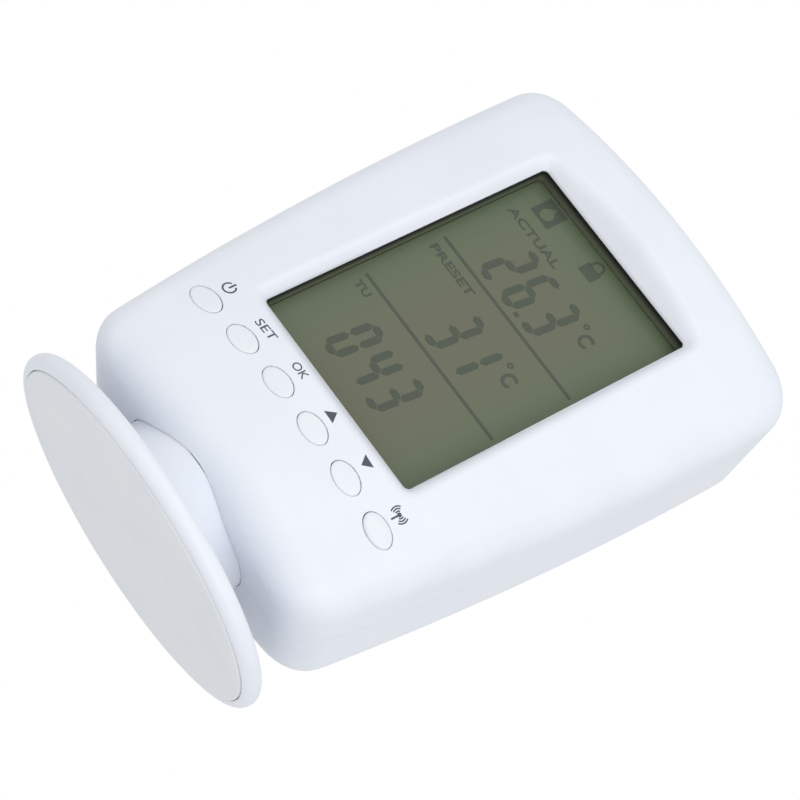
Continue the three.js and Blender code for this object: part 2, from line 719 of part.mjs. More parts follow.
function neck() {
  const bore = stemRadius - lipWidth - boreWall;
  let solid = turned([
    [0, neckBaseZ],
    [neckRadius, neckBaseZ],
    [neckRadius, shoulderZ - neckRound],
    [neckRadius - 0.3 * neckRound, shoulderZ - 0.3 * neckRound],
    [neckRadius - neckRound, shoulderZ],
    [stemRadius, shoulderZ],
    [stemRadius, headZ],
    [headDiscRadius, headZ],
    [headDiscRadius, headZ + headThickness],
    [bore, headZ + headThickness],
    [bore, neckBaseZ + boreFloor],
    [0, neckBaseZ + boreFloor],
  ], 48);
  for (const [x, y] of neckScrewSpots) {
    solid = solid.subtract(upright(screwRadius + gap, x, y, neckBaseZ - cut, neckBaseZ + neckScrewReach + gap, 12));
  }
  return solid;
}

// materials

const finish = (color, roughness, metalness = 0) => new THREE.MeshStandardMaterial({ color, roughness, metalness });
const white = () => finish(0xe9ecf2, 0.45);
const keyGrey = () => finish(0xd6dade, 0.5);
const padGrey = () => finish(0xc9ccd2, 0.7);
const glassGreen = () => finish(0x656a54, 0.25);
const boardGreen = () => finish(0x1f5a36, 0.5);
const black = () => finish(0x1a1a1c, 0.6);
const natural = () => finish(0xdedcd2, 0.5);
const steel = () => finish(0xb9bcc0, 0.3, 1);

const part = new THREE.Group();
part.add(caseGroup);

function add(group, name, made, material) {
  const geometry = made.isBufferGeometry ? made : geometryOf(made);
  const mesh = new THREE.Mesh(geometry, material);
  mesh.name = name;
  group.add(mesh);
  return mesh;
}

// Foot, neck and what holds them together
add(part, "foot_disc", footDisc(), white());
add(part, "foot_pad", turned([[0, 0], [padDiameter / 2 - padRound, 0], [padDiameter / 2, padRound],
  [padDiameter / 2, padThickness], [0, padThickness]], 60), padGrey());
add(part, "ballast_plate", ballastPlate(), steel());
add(part, "neck", neck(), white());
neckScrewSpots.forEach(([x, y], i) => add(part, `neck_screw_${i + 1}`, neckScrew(x, y), steel()));
add(part, "friction_ring", ring(stemRadius + gap, neckRadius - gap, ringZ, ringZ + ringThickness), natural());

// Case
add(caseGroup, "front_cover", frontCover(), white());
add(caseGroup, "rear_cover", rearCover(), white());
caseScrewSpots.forEach(([x, z], i) => add(caseGroup, `case_screw_${i + 1}`, caseScrew(x, z), steel()));

// Battery bay
add(caseGroup, "battery_door", batteryDoor(), white());
add(caseGroup, "battery_tray", batteryTray(), white());
[1, -1].forEach((end, i) => {
  const x = i ? cellX : -cellX;
  add(caseGroup, `battery_${i + 1}`, batteryCell(end > 0), finish(0x2f3f57, 0.35)).position.set(x, cellY, bayZ);
  add(caseGroup, `spring_${i + 1}`, coilSpring(-end), steel()).position.set(x, cellY, bayZ);
});
const contactEdge = cellX + contactHalf;
add(caseGroup, "contact_link", contactPlate(-contactEdge, contactEdge, -1), steel());
add(caseGroup, "contact_plate_1", contactPlate(-contactEdge, contactHalf - cellX, 1), steel());
add(caseGroup, "contact_plate_2", contactPlate(cellX - contactHalf, contactEdge, 1), steel());

// Display stack
const gasketY = glassY - gap - gasketThickness;
add(caseGroup, "window_gasket",
  frameAround(windowWidth / 2 + gasketOverlap, windowHeight / 2 + gasketOverlap, glassBorder - gasketMargin,
    gasketY, gasketY + gasketThickness), black());
add(caseGroup, "lcd_glass",
  box(-glassHalfWidth, glassHalfWidth, glassY, glassY + glassThickness, -glassHalfHeight, glassHalfHeight),
  glassGreen());
const guideHalfHeight = glassHalfHeight - stripHeight - gap;
add(caseGroup, "light_guide",
  box(-glassHalfWidth, glassHalfWidth, guideY, guideY + guideThickness, -guideHalfHeight, guideHalfHeight),
  natural());
[1, -1].forEach((end, i) => {
  const z0 = end * (glassHalfHeight - stripHeight);
  const z1 = end * glassHalfHeight;
  add(caseGroup, `zebra_strip_${i + 1}`, box(-glassHalfWidth + 1, glassHalfWidth - 1, guideY,
    guideY + guideThickness, Math.min(z0, z1), Math.max(z0, z1)), black());
});
add(caseGroup, "lcd_frame", frameAround(glassHalfWidth + gap, glassHalfHeight + gap, frameBorder - gap,
  glassY - gap, guideY + guideThickness), natural());

// Board and what is on it
add(caseGroup, "main_board", mainBoard(), boardGreen());
postSpots.forEach(([x, z], i) => add(caseGroup, `board_screw_${i + 1}`, boardScrew(x, z), steel()));
const onBoard = boardBackY + gap;
function chip({ x, z, width, height, thickness }, y = onBoard) {
  return box(x - width / 2, x + width / 2, y, y + thickness, z - height / 2, z + height / 2);
}
function temperatureSensor() {
  const x = boardHalfWidth - sensor.inset;
  const z = keyZ + sensor.aboveKeys;
  const bead = barY(sensor.radius, x, z, onBoard, onBoard + sensor.height, 10);
  return bead.add(barY(sensor.tipRadius, x, z, onBoard, onBoard + sensor.tipHeight, 8));
}
add(caseGroup, "processor", chip(processor), black());
add(caseGroup, "crystal", chip(crystal), steel());
add(caseGroup, "radio_board", chip(radioBoard), boardGreen());
add(caseGroup, "radio_can", chip(radioCan, onBoard + radioBoard.thickness + gap), steel());
add(caseGroup, "antenna", antennaWire(), steel());
capacitors.forEach(({ x, z, radius, height }, i) => {
  add(caseGroup, `capacitor_${i + 1}`, barY(radius, x, z, onBoard, onBoard + height, 20), black());
});
add(caseGroup, "temperature_sensor", temperatureSensor(), finish(0x8a3b22, 0.5));

// Keys and the switches behind them
const keyNames = ["power", "set", "ok", "up", "down", "pair"];
for (let i = 0; i < keyCount; i++) {
  add(caseGroup, `switch_${i + 1}`, tactSwitch(keyX(i)), black());
  add(caseGroup, `button_${keyNames[i] ?? i + 1}`, keyCap(keyX(i)), keyGrey());
}

export default part;
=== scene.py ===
import json
import math

import bmesh
import bpy
import numpy as np
from mathutils import Matrix, Vector


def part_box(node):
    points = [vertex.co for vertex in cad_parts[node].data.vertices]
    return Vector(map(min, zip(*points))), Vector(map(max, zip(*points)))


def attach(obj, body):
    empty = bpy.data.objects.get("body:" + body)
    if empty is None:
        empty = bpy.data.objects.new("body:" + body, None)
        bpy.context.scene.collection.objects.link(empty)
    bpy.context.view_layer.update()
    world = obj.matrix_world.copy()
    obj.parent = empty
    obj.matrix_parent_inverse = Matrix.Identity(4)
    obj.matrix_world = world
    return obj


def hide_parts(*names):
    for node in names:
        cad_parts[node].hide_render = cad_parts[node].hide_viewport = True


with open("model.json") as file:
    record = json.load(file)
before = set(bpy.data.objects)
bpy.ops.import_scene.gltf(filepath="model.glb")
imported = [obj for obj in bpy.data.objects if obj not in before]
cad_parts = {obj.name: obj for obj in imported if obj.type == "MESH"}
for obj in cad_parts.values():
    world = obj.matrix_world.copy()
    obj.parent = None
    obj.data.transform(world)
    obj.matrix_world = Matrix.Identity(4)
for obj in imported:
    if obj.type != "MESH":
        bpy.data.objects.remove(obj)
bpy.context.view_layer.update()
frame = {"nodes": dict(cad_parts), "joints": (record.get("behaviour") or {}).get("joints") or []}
millimetre = 0.001
print("frame loaded")

# Where the leaning case stands. Case pieces are modelled upright in millimetres, with the middle of the
# window's rim at the origin, +Z towards the top and -Y towards the reader, and settled by casePlace.
joints = {joint["name"]: joint for joint in frame["joints"]}
keyAxis = joints["power_key"]["axis"]
lean = math.atan2(-keyAxis[2], keyAxis[1])
display = dict(depth=3.25, glass=2.2)  # rim to glass, and the glass itself
glassLow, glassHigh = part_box("lcd_glass")
casePlace = (
    Matrix.Translation((glassLow + glassHigh) / 2)
    @ Matrix.Rotation(-lean, 4, "X")
    @ Matrix.Scale(millimetre, 4)
    @ Matrix.Translation((0, -display["depth"] - display["glass"] / 2, 0))
)
footPlace = Matrix.Scale(millimetre, 4)


def caseBox(node):  # lowest and highest corner of a CAD node in the upright case's millimetres
    inverse = casePlace.inverted()
    places = np.array([inverse @ vertex.co for vertex in frame["nodes"][node].data.vertices])
    return Vector(places.min(0)), Vector(places.max(0))


def footBox(node):  # the same for the foot, in the row frame's millimetres
    low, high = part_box(node)
    return low / millimetre, high / millimetre


# modelling helpers

def fresh():
    if bpy.context.object and bpy.context.object.mode != "OBJECT":
        bpy.ops.object.mode_set(mode="OBJECT")
    bpy.ops.object.select_all(action="DESELECT")


def edit():
    bpy.ops.object.mode_set(mode="EDIT")


def pickNone():
    bpy.ops.mesh.select_all(action="DESELECT")


def pick(kind, test):  # selects the vertices, edges or faces in edit mode that pass a test
    bpy.ops.mesh.select_mode(type=dict(verts="VERT", edges="EDGE", faces="FACE")[kind])
    shape = bmesh.from_edit_mesh(bpy.context.object.data)
    shape.normal_update()
    for part in getattr(shape, kind):
        if test(part):
            part.select_set(True)
    bmesh.update_edit_mesh(bpy.context.object.data)


def countPicked(test=lambda place: True):
    shape = bmesh.from_edit_mesh(bpy.context.object.data)
    return sum(1 for vertex in shape.verts if vertex.select and test(vertex.co))


def movePicked(where):  # moves each selected vertex to where(place)
    shape = bmesh.from_edit_mesh(bpy.context.object.data)
    for vertex in shape.verts:
        if vertex.select:
            vertex.co = where(vertex.co.copy())
    bmesh.update_edit_mesh(bpy.context.object.data)


def placePicked(places):  # moves the selected vertices to the places, in order
    shape = bmesh.from_edit_mesh(bpy.context.object.data)
    for vertex, place in zip([vertex for vertex in shape.verts if vertex.select], places):
        vertex.co = place
    bmesh.update_edit_mesh(bpy.context.object.data)


def middle(edge):
    return (edge.verts[0].co + edge.verts[1].co) / 2


def applyModifiers(piece):
    fresh()
    piece.select_set(True)
    bpy.context.view_layer.objects.active = piece
    for modifier in list(piece.modifiers):
        bpy.ops.object.modifier_apply(modifier=modifier.name)


def settle(piece, name, place, body, material, replaced=(), sharpAngle=35):
    fresh()
    piece.name = name
    piece.data.name = name
    piece.data.transform(piece.matrix_world)
    piece.matrix_world = Matrix.Identity(4)
    piece.data.transform(place)
    piece.select_set(True)
    bpy.context.view_layer.objects.active = piece
    bpy.ops.object.shade_smooth_by_angle(angle=math.radians(sharpAngle))
    piece.data.materials.clear()
    piece.data.materials.append(material)
    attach(piece, body)
    if replaced:
        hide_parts(*replaced)
    return piece


# finishes

class Wire:  # one socket of a material's node tree, which can stand in a sum
    def __init__(self, socket):
        self.socket = socket

    def math(self, operation, *values, clamp=False):
        node = self.socket.id_data.nodes.new("ShaderNodeMath")
        node.operation = operation
        node.use_clamp = clamp
        for place, value in zip(node.inputs, values):
            plug(place, value)
        return Wire(node.outputs[0])

    def __add__(self, other):
        return self.math("ADD", self, other)

    def __radd__(self, other):
        return self.math("ADD", other, self)

    def __sub__(self, other):
        return self.math("SUBTRACT", self, other)

    def __rsub__(self, other):
        return self.math("SUBTRACT", other, self)

    def __mul__(self, other):
        return self.math("MULTIPLY", self, other)

    def __rmul__(self, other):
        return self.math("MULTIPLY", other, self)

    def between(self, low, high):  # 0 below low, 1 above high, and eased between them
        node = self.socket.id_data.nodes.new("ShaderNodeMapRange")
        node.interpolation_type = "SMOOTHSTEP"
        for name, value in zip(("Value", "From Min", "From Max"), (self, low, high)):
            plug(node.inputs[name], value)
        return Wire(node.outputs[0])


def plug(place, value):
    if isinstance(value, Wire):
        place.id_data.links.new(value.socket, place)
    else:
        place.default_value = value


class Finish:  # a material whose nodes are added one by one
    def __init__(self, name):
        self.material = bpy.data.materials.new(name)
        self.material.use_nodes = True
        self.tree = self.material.node_tree
        self.shader = self.tree.nodes["Principled BSDF"]

    def node(self, kind, settings, sockets, output=0):
        node = self.tree.nodes.new(kind)
        for name, value in settings.items():
            if name == "stops":
                for stop, (position, colour) in zip(node.color_ramp.elements, value):
                    stop.position, stop.color = position, colour
            else:
                setattr(node, name, value)
        for name, value in sockets.items():
            plug(node.inputs[name], value)
        return Wire(node.outputs[output])

    def set(self, **sockets):
        for name, value in sockets.items():
            plug(self.shader.inputs[name.replace("_", " ")], value)

    def place(self):
        return self.node("ShaderNodeTexCoord", {}, {}, "Object")

    def noise(self, size, detail=2.0, roughness=0.5, along=None):  # size in millimetres
        sockets = {"Vector": along or self.place(), "Scale": 1 / (size * millimetre)}
        sockets.update({"Detail": detail, "Roughness": roughness})
        return self.node("ShaderNodeTexNoise", {}, sockets)

    def blend(self, amount, first, second):
        sockets = {0: amount, 6: first, 7: second}
        return self.node("ShaderNodeMix", dict(data_type="RGBA"), sockets, 2)

    def bump(self, height, distance, strength=1.0):  # distance in millimetres
        sockets = {"Height": height, "Distance": distance * millimetre, "Strength": strength}
        return self.node("ShaderNodeBump", {}, sockets)


def shade(red, green, blue):  # linear colour of a shade seen on screen, 0 to 255
    return tuple((((v / 255) + 0.055) / 1.055) ** 2.4 for v in (red, green, blue)) + (1.0,)


def whitePlastic(name, light, deep, grain=0.03, rough=0.42):  # satin moulded plastic
    finish = Finish(name)
    cloud = finish.noise(14, 3, 0.6).between(0.35, 0.7)
    texture = finish.noise(0.28, 2, 0.55)
    smears = finish.noise(5, 4, 0.65)
    finish.set(Base_Color=finish.blend(cloud, light, deep))
    finish.set(Roughness=rough + 0.06 * smears + 0.04 * texture)
    finish.set(Normal=finish.bump(texture, grain, 0.35))
    finish.set(Specular_IOR_Level=0.45, Coat_Weight=0.06, Coat_Roughness=0.3)
    return finish.material


def metal(name, light, deep, rough=0.28):  # plated steel, brushed in one direction
    finish = Finish(name)
    stretched = finish.node("ShaderNodeMapping", {}, {"Vector": finish.place(), "Scale": (1, 1, 9)})
    streaks = finish.noise(0.9, 3, 0.6, stretched)
    finish.set(Base_Color=finish.blend(streaks, light, deep), Metallic=1.0)
    finish.set(Roughness=rough + 0.18 * streaks, Normal=finish.bump(streaks, 0.02, 0.3))
    return finish.material


def moulded(name, light, deep, rough, grainSize=0.4, grain=0.02):  # any other plastic or rubber
    finish = Finish(name)
    cloud = finish.noise(3, 3, 0.6)
    texture = finish.noise(grainSize, 3, 0.6)
    finish.set(Base_Color=finish.blend(cloud, light, deep))
    finish.set(Roughness=rough + 0.1 * texture, Normal=finish.bump(texture, grain, 0.5))
    return finish.material


def padRubber():  # fine even grain with a faint unevenness
    finish = Finish("grey_pad")
    grain = finish.noise(0.18, 2, 0.7)
    patches = finish.noise(16, 2, 0.5).between(0.3, 0.7)
    finish.set(Base_Color=finish.blend(patches, shade(232, 233, 235), shade(228, 230, 234)))
    finish.set(Roughness=0.62 + 0.14 * grain, Normal=finish.bump(grain, 0.035, 0.6))
    finish.set(Specular_IOR_Level=0.35)
    return finish.material


def displayGlass():  # an olive reflective display, greener towards its ends, under a clear polished sheet
    finish = Finish("display_glass")
    low, high = glassLow, glassHigh
    x = finish.node("ShaderNodeSeparateXYZ", {}, {"Vector": finish.place()}, "X")
    z = finish.node("ShaderNodeSeparateXYZ", {}, {"Vector": finish.place()}, "Z")
    half = (high.x - low.x) / 2
    sideEdge = finish.node("ShaderNodeMath", dict(operation="ABSOLUTE"), {0: x}).between(half * 0.25, half)
    topEdge = z.between(high.z - 0.018, high.z)
    green = finish.node("ShaderNodeMath", dict(operation="MAXIMUM"), {0: sideEdge, 1: topEdge})
    mottle = finish.noise(0.5, 3, 0.6)
    olive = finish.blend(mottle, shade(104, 106, 86), shade(100, 103, 84))
    finish.set(Base_Color=finish.blend(green * 0.85, olive, shade(94, 110, 84)))
    finish.set(Roughness=0.32 + 0.1 * mottle, Normal=finish.bump(mottle, 0.004, 0.3))
    finish.set(Specular_IOR_Level=0.35, Coat_Weight=0.12, Coat_Roughness=0.12)
    return finish.material


def segmentInk():  # the dark parts of the display
    finish = Finish("display_segments")
    mottle = finish.noise(0.6, 3, 0.6)
    finish.set(Base_Color=finish.blend(mottle, shade(72, 80, 68), shade(80, 87, 74)))
    finish.set(Roughness=0.36 + 0.1 * mottle, Specular_IOR_Level=0.35)
    return finish.material


def linerWithPaintedShadow():  # the window's dark inner wall, its colour fading with depth into the glass's olive: a painted shadow of the rim and a painted reflection of the display
    finish = Finish("window_liner")
    turned = finish.node("ShaderNodeMapping", dict(vector_type="POINT"), {
        "Vector": finish.place(), "Rotation": (lean, 0, 0),
    })
    depth = finish.node("ShaderNodeSeparateXYZ", {}, {"Vector": turned}, "Y")
    rimDepth = (Matrix.Rotation(lean, 4, "X") @ (casePlace @ Vector((0, 0, 0)))).y
    # painted shadow and painted reflection: near-black at the rim, fading into the display's olive deeper in
    paintedShadowFade = (depth - rimDepth).between(0.45 * millimetre, 2.5 * millimetre)
    grain = finish.noise(0.4, 2, 0.6)
    finish.set(Base_Color=finish.blend(paintedShadowFade, shade(9, 10, 13), shade(98, 104, 85)))
    finish.set(Roughness=0.5 + 0.1 * grain, Normal=finish.bump(grain, 0.01, 0.4))
    return finish.material


def labelInk():  # screen-printed dark blue-grey
    finish = Finish("label_ink")
    grain = finish.noise(0.12, 2, 0.6)
    finish.set(Base_Color=finish.blend(grain, shade(66, 70, 84), shade(82, 86, 100)))
    finish.set(Roughness=0.5 + 0.15 * grain, Normal=finish.bump(grain, 0.004, 0.5))
    return finish.material


def boardLacquer():  # green solder mask over a faint glass-fibre weave and copper runs
    finish = Finish("board_lacquer")
    weave = finish.node("ShaderNodeTexWave", dict(wave_type="BANDS", bands_direction="X"), {
        "Vector": finish.place(), "Scale": 420.0, "Distortion": 1.5, "Detail": 2.0,
    }, "Fac")
    runs = finish.node("ShaderNodeTexBrick", {}, {
        "Vector": finish.place(), "Scale": 300.0, "Mortar Size": 0.03, "Color1": (0, 0, 0, 1),
        "Color2": (0.1, 0.1, 0.1, 1), "Mortar": (1, 1, 1, 1),
    }, "Fac")
    green = finish.blend(weave, shade(24, 84, 48), shade(30, 98, 56))
    finish.set(Base_Color=finish.blend(runs, green, shade(48, 124, 72)))
    finish.set(Roughness=0.35 + 0.1 * weave, Normal=finish.bump(runs, 0.03, 0.5), Coat_Weight=0.3)
    return finish.material


def cellSleeve(number, plusUp):  # a cell's blue sleeve with a copper-coloured plus end and bare steel tips
    finish = Finish(f"cell_sleeve_{number}")
    low, high = caseBox(f"battery_{number}")
    across = Matrix.Rotation(lean, 4, "X") @ casePlace
    upright = finish.node("ShaderNodeMapping", {}, {"Vector": finish.place(), "Rotation": (lean, 0, 0)})
    height = finish.node("ShaderNodeSeparateXYZ", {}, {"Vector": upright}, "Z")
    ends = [(across @ Vector((0, 0, z))).z for z in ((low.z, high.z) if plusUp else (high.z, low.z))]
    along = (height - ends[0]) * (1 / (ends[1] - ends[0]))  # 0 at the minus end, 1 at the plus end
    band = along.between(0.765, 0.768)
    tips = 1 - along.between(0.012, 0.016) + along.between(0.974, 0.978)
    wear = finish.noise(1.2, 3, 0.6)
    blue = finish.blend(wear, shade(38, 56, 92), shade(46, 66, 104))
    sleeve = finish.blend(band, blue, shade(176, 128, 84))
    finish.set(Base_Color=finish.blend(tips, sleeve, shade(190, 192, 196)))
    finish.set(Metallic=0.35 + 0.6 * tips, Roughness=0.28 + 0.12 * wear, Normal=finish.bump(wear, 0.01, 0.3))
    return finish.material


bodyWhite = whitePlastic("white_plastic", shade(233, 236, 242), shade(230, 234, 241))
footWhite = whitePlastic("foot_plastic", shade(233, 236, 242), shade(229, 233, 241), 0.02, 0.36)
keyPlastic = whitePlastic("key_plastic", shade(233, 236, 240), shade(229, 233, 238), 0.02, 0.38)
natural = moulded("natural_plastic", shade(224, 222, 212), shade(214, 212, 203), 0.42)
black = moulded("black_plastic", shade(30, 31, 34), shade(40, 41, 44), 0.45)
foam = moulded("foam_rubber", shade(24, 24, 25), shade(34, 34, 36), 0.75, 0.3, 0.08)
steel = metal("plated_steel", shade(196, 198, 202), shade(170, 173, 178))
sensorCoat = moulded("sensor_coat", shade(142, 62, 38), shade(120, 50, 30), 0.25)
print("finishes mixed")

# the case's outer form

caseForm = dict(
    windowWidth=41.7, windowHeight=65, windowCorner=1.0,
    frontRadius=110,  # the front is part of an upright cylinder
    sideRadius=675,  # the sides bow outwards a little
    widestBelowTop=9,
    frontRound=8, rearRound=9, rearDraft=1.3,
    top=(7, 7, 5), under=(9.5, 7, 4.5),  # rounding at the front, the sides and the back
    pocketSlope=4.1 / 3.4, pocketRound=1.7,
    wall=1.8, seam=0.08, edge=0.12,
)
frontLow, frontHigh = caseBox("front_cover")
rearLow, rearHigh = caseBox("rear_cover")
swivel = casePlace.inverted() @ Vector(joints["case_swivel"]["pos_m"])
frontY, backY = frontLow.y, rearHigh.y
splitY = (frontHigh.y + rearLow.y) / 2
topZ, underZ, neckY = frontHigh.z, swivel.z, swivel.y
maxHalf = frontHigh.x
widestZ = topZ - caseForm["widestBelowTop"]
frontCentreY = frontY + caseForm["frontRadius"]
cornerX = maxHalf - caseForm["frontRound"]
cornerY = frontCentreY - math.sqrt((caseForm["frontRadius"] - caseForm["frontRound"]) ** 2 - cornerX ** 2)
cornerTurn = math.atan2(cornerY - frontCentreY, cornerX)
arcEndX = caseForm["frontRadius"] * math.cos(cornerTurn)
rearCornerX = maxHalf - caseForm["rearDraft"] - caseForm["rearRound"]
rearCornerY = backY - caseForm["rearRound"]
neckHigh = footBox("neck")[1]
holeRadius = neckHigh.x + 0.14

columns = dict(arc=36, corner=12, side=5, back=28)  # steps along half the outline


def frontSag(x):
    return caseForm["frontRadius"] - np.sqrt(caseForm["frontRadius"] ** 2 - np.asarray(x) ** 2)


def halfWidth(z):
    return maxHalf - (widestZ - z) ** 2 / (2 * caseForm["sideRadius"])


def frontDepth(x, z):  # depth of the uncut front at a place seen from ahead
    wide = np.abs(x) * maxHalf / halfWidth(z)
    over = np.clip(wide - cornerX, 0, caseForm["frontRound"])
    corner = cornerY - np.sqrt(caseForm["frontRound"] ** 2 - over ** 2) + frontSag(x) - frontSag(wide)
    return np.where(wide <= arcEndX, frontY + frontSag(x), corner)


def rearDepth(x, z):
    wide = np.abs(x) * maxHalf / halfWidth(z)
    over = np.clip(wide - rearCornerX, 0, caseForm["rearRound"])
    return backY - caseForm["rearRound"] + np.sqrt(caseForm["rearRound"] ** 2 - over ** 2)


def offWindow(x, z):  # distance outside the window's rounded rectangle
    corner = caseForm["windowCorner"]
    aside = np.abs(x) - caseForm["windowWidth"] / 2 + corner
    above = np.abs(z) - caseForm["windowHeight"] / 2 + corner
    outside = np.hypot(np.maximum(aside, 0), np.maximum(above, 0))
    return outside + np.minimum(np.maximum(aside, above), 0) - corner


def pocketDepth(x, z):  # the sloped pocket round the window, rounded where it meets the front
    front = frontDepth(x, z)
    slope = -caseForm["pocketSlope"] * offWindow(x, z)
    share = np.maximum(caseForm["pocketRound"] - np.abs(front - slope), 0) / caseForm["pocketRound"]
    return np.maximum(front, slope) + share ** 2 * caseForm["pocketRound"] / 4


noseX = np.linspace(0, arcEndX, columns["arc"] + 1)  # half the section's front, seen from above
noseTurns = np.linspace(cornerTurn, 0, columns["corner"] + 1)[1:]
nose = np.stack([
    np.append(noseX, cornerX + caseForm["frontRound"] * np.cos(noseTurns)),
    np.append(frontY + frontSag(noseX), cornerY + caseForm["frontRound"] * np.sin(noseTurns)),
])
tailTurns = np.linspace(0, math.pi / 2, columns["corner"] + 1)  # half its back
tailX = np.linspace(rearCornerX, 0, columns["back"] + 1)[1:]
tail = np.stack([
    np.append(rearCornerX + caseForm["rearRound"] * np.cos(tailTurns), tailX),
    np.append(rearCornerY + caseForm["rearRound"] * np.sin(tailTurns), np.full(tailX.shape, backY)),
])


def sideways(outline):  # 1 where the outline faces the side, 0 where it faces ahead or back
    slope = np.gradient(outline, axis=1)
    return slope[1] ** 2 / (slope ** 2).sum(0)


def lift(outline, aside, rounded, end, turn, level):  # gives an outline's points their height and taper
    front, side, rear = (radius * (1 - math.cos(turn)) for radius in caseForm[end])
    endRadius = rounded * (1 - aside) + caseForm[end][1] * aside
    share = (outline[1] - frontY) / (backY - frontY)
    x, y = outline
    for _ in range(4):
        drop = endRadius * (1 - math.sin(turn))
        z = topZ - drop if end == "top" else underZ + math.tan(lean) * (y - neckY) + drop
        if level:
            z = z + (level[0] - z) * level[1]
        x = outline[0] * (halfWidth(z) - side) / maxHalf
        if not np.isscalar(aside):
            y = outline[1] + (1 - share) * (front + frontSag(x) - frontSag(outline[0])) - share * rear
    return np.stack([x, y, z + 0 * x], 1)


noseAside, tailAside = sideways(nose), sideways(tail)
noseAside[-1] = tailAside[0] = 1


def caseRow(shell, end, turn=0.0, level=None):  # half the outline of one shell at one height
    ahead = lift(nose, noseAside, caseForm[end][0], end, turn, level)
    behind = lift(tail, tailAside, caseForm[end][2], end, turn, level)
    side = 1 if shell == "rear" else -1
    seamY = splitY + side * caseForm["seam"] / 2
    ends = (ahead[-1, 1], seamY) if shell == "front" else (seamY, behind[0, 1])
    y = np.linspace(*ends, columns["side"] + 1)
    y = y[1:] if shell == "front" else y[:-1]
    x = maxHalf - caseForm["rearDraft"] * (y - ahead[-1, 1]) / (behind[0, 1] - ahead[-1, 1])
    flank = lift(np.stack([x, y]), 1.0, caseForm[end][1], end, turn, level)
    return np.concatenate([ahead, flank] if shell == "front" else [flank, behind])


def mirroredRow(half, shell):  # the whole outline, anticlockwise seen from above
    other = half * (-1, 1, 1)
    return np.concatenate([other[:0:-1], half] if shell == "front" else [half, other[-2::-1]])


def caseRows(shell):  # all rows of a shell from its underside to its top
    quarter = np.linspace(0, math.pi / 2, 13)
    keyBand = np.linspace(keyZ - 4.1, blockLow, 10)
    window = np.linspace(blockLow, blockHigh, 81)[1:]
    rows = [caseRow(shell, "under", turn) for turn in quarter[::-1]]
    rows += [caseRow(shell, "under", 0, (keyBand[0], share)) for share in np.linspace(0, 1, 7)[1:]]
    rows += [caseRow(shell, "under", 0, (z, 1)) for z in (*keyBand[1:], *window)]
    rows += [caseRow(shell, "top", turn) for turn in quarter]
    under, top = capRows(rows[0], shell, "under")[::-1], capRows(rows[-1], shell, "top")
    return np.array([mirroredRow(row, shell) for row in (*under, *rows, *top)])


def capRows(edge, shell, end):  # from the rounded edge in to the seam, across the top or the underside
    seamY = splitY + (-1 if shell == "front" else 1) * caseForm["seam"] / 2
    spread = np.linspace(0, 1, len(edge)) if shell == "front" else np.linspace(1, 0, len(edge))
    level = edge[:, 2] if end == "top" else underZ + math.tan(lean) * (seamY - neckY) + 0 * spread
    reach = edge[-1 if shell == "front" else 0, 0]
    inner = np.stack([reach * spread, 0 * spread + seamY, level], 1)
    return [edge + (inner - edge) * share for share in np.linspace(0, 1, 10)[1:]]


def wrapGrid(rows):  # a grid laid over the rows of an outline
    fresh()
    high, wide = rows.shape[0] - 1, rows.shape[1] - 1
    bpy.ops.mesh.primitive_grid_add(x_subdivisions=wide, y_subdivisions=high, size=1)
    piece = bpy.context.object
    piece.data.vertices.foreach_set("co", rows.reshape(-1))
    piece.data.update()
    edit()
    bpy.ops.mesh.select_all(action="SELECT")
    bpy.ops.mesh.remove_doubles(threshold=0.001)
    pickNone()
    return piece


def solidStart(kind, **settings):  # a primitive with nothing else picked
    fresh()
    getattr(bpy.ops.mesh, f"primitive_{kind}_add")(**settings)
    return bpy.context.object


def carve(piece, tool, operation="DIFFERENCE"):
    cutter = piece.modifiers.new("carve", "BOOLEAN")
    cutter.object, cutter.operation, cutter.solver = tool, operation, "EXACT"
    applyModifiers(piece)
    bpy.data.objects.remove(tool)


def carveNeckHole(piece):
    upright = casePlace.inverted().to_3x3() @ Vector((0, 0, 1))
    turn = upright.normalized().to_track_quat("Z", "Y").to_euler()
    bore = dict(vertices=128, radius=holeRadius, depth=24, location=swivel, rotation=turn)
    carve(piece, solidStart("cylinder", **bore))
    edit()
    pickNone()


# clears the faces seen inside a rectangle and leaves the hole's edges picked
def openBlock(low, high, ahead):
    middleHalf = float(halfWidth((low[1] + high[1]) / 2))

    def inside(place, margin=0.0):
        aside = place.x * middleHalf / float(halfWidth(place.z))  # so that the block follows whole columns
        return low[0] - margin < aside < high[0] + margin and low[1] - margin < place.z < high[1] + margin

    pickNone()
    pick("faces", lambda face: inside(face.calc_center_median()) and face.normal.y * ahead > 0.2)
    bpy.ops.mesh.delete(type="FACE")
    reach = 1.2
    pick("edges", lambda edge: edge.is_boundary and inside(middle(edge), reach))


def growRings(rings):  # extrudes the picked loop once for each ring, and moves the new loop there
    for ring in rings:
        bpy.ops.mesh.extrude_region_move()
        movePicked(ring)


# a step from the picked loop to an oval seen from ahead
def towards(centre, halfWide, halfHigh, share, depth):
    def where(place):
        turn = math.atan2((place.z - centre[1]) / halfHigh, (place.x - centre[0]) / halfWide)
        x = centre[0] + halfWide * math.cos(turn)
        z = centre[1] + halfHigh * math.sin(turn)
        x, z = place.x + (x - place.x) * share, place.z + (z - place.z) * share
        return Vector((x, float(depth(x, z)), z))
    return where


def ovalHole(centre, halfWide, halfHigh, depth):
    steps = (0.4, 0.5, 0.6, 1.0)  # shares of what is left, closer together near the hole
    growRings([towards(centre, halfWide, halfHigh, share, depth) for share in steps])


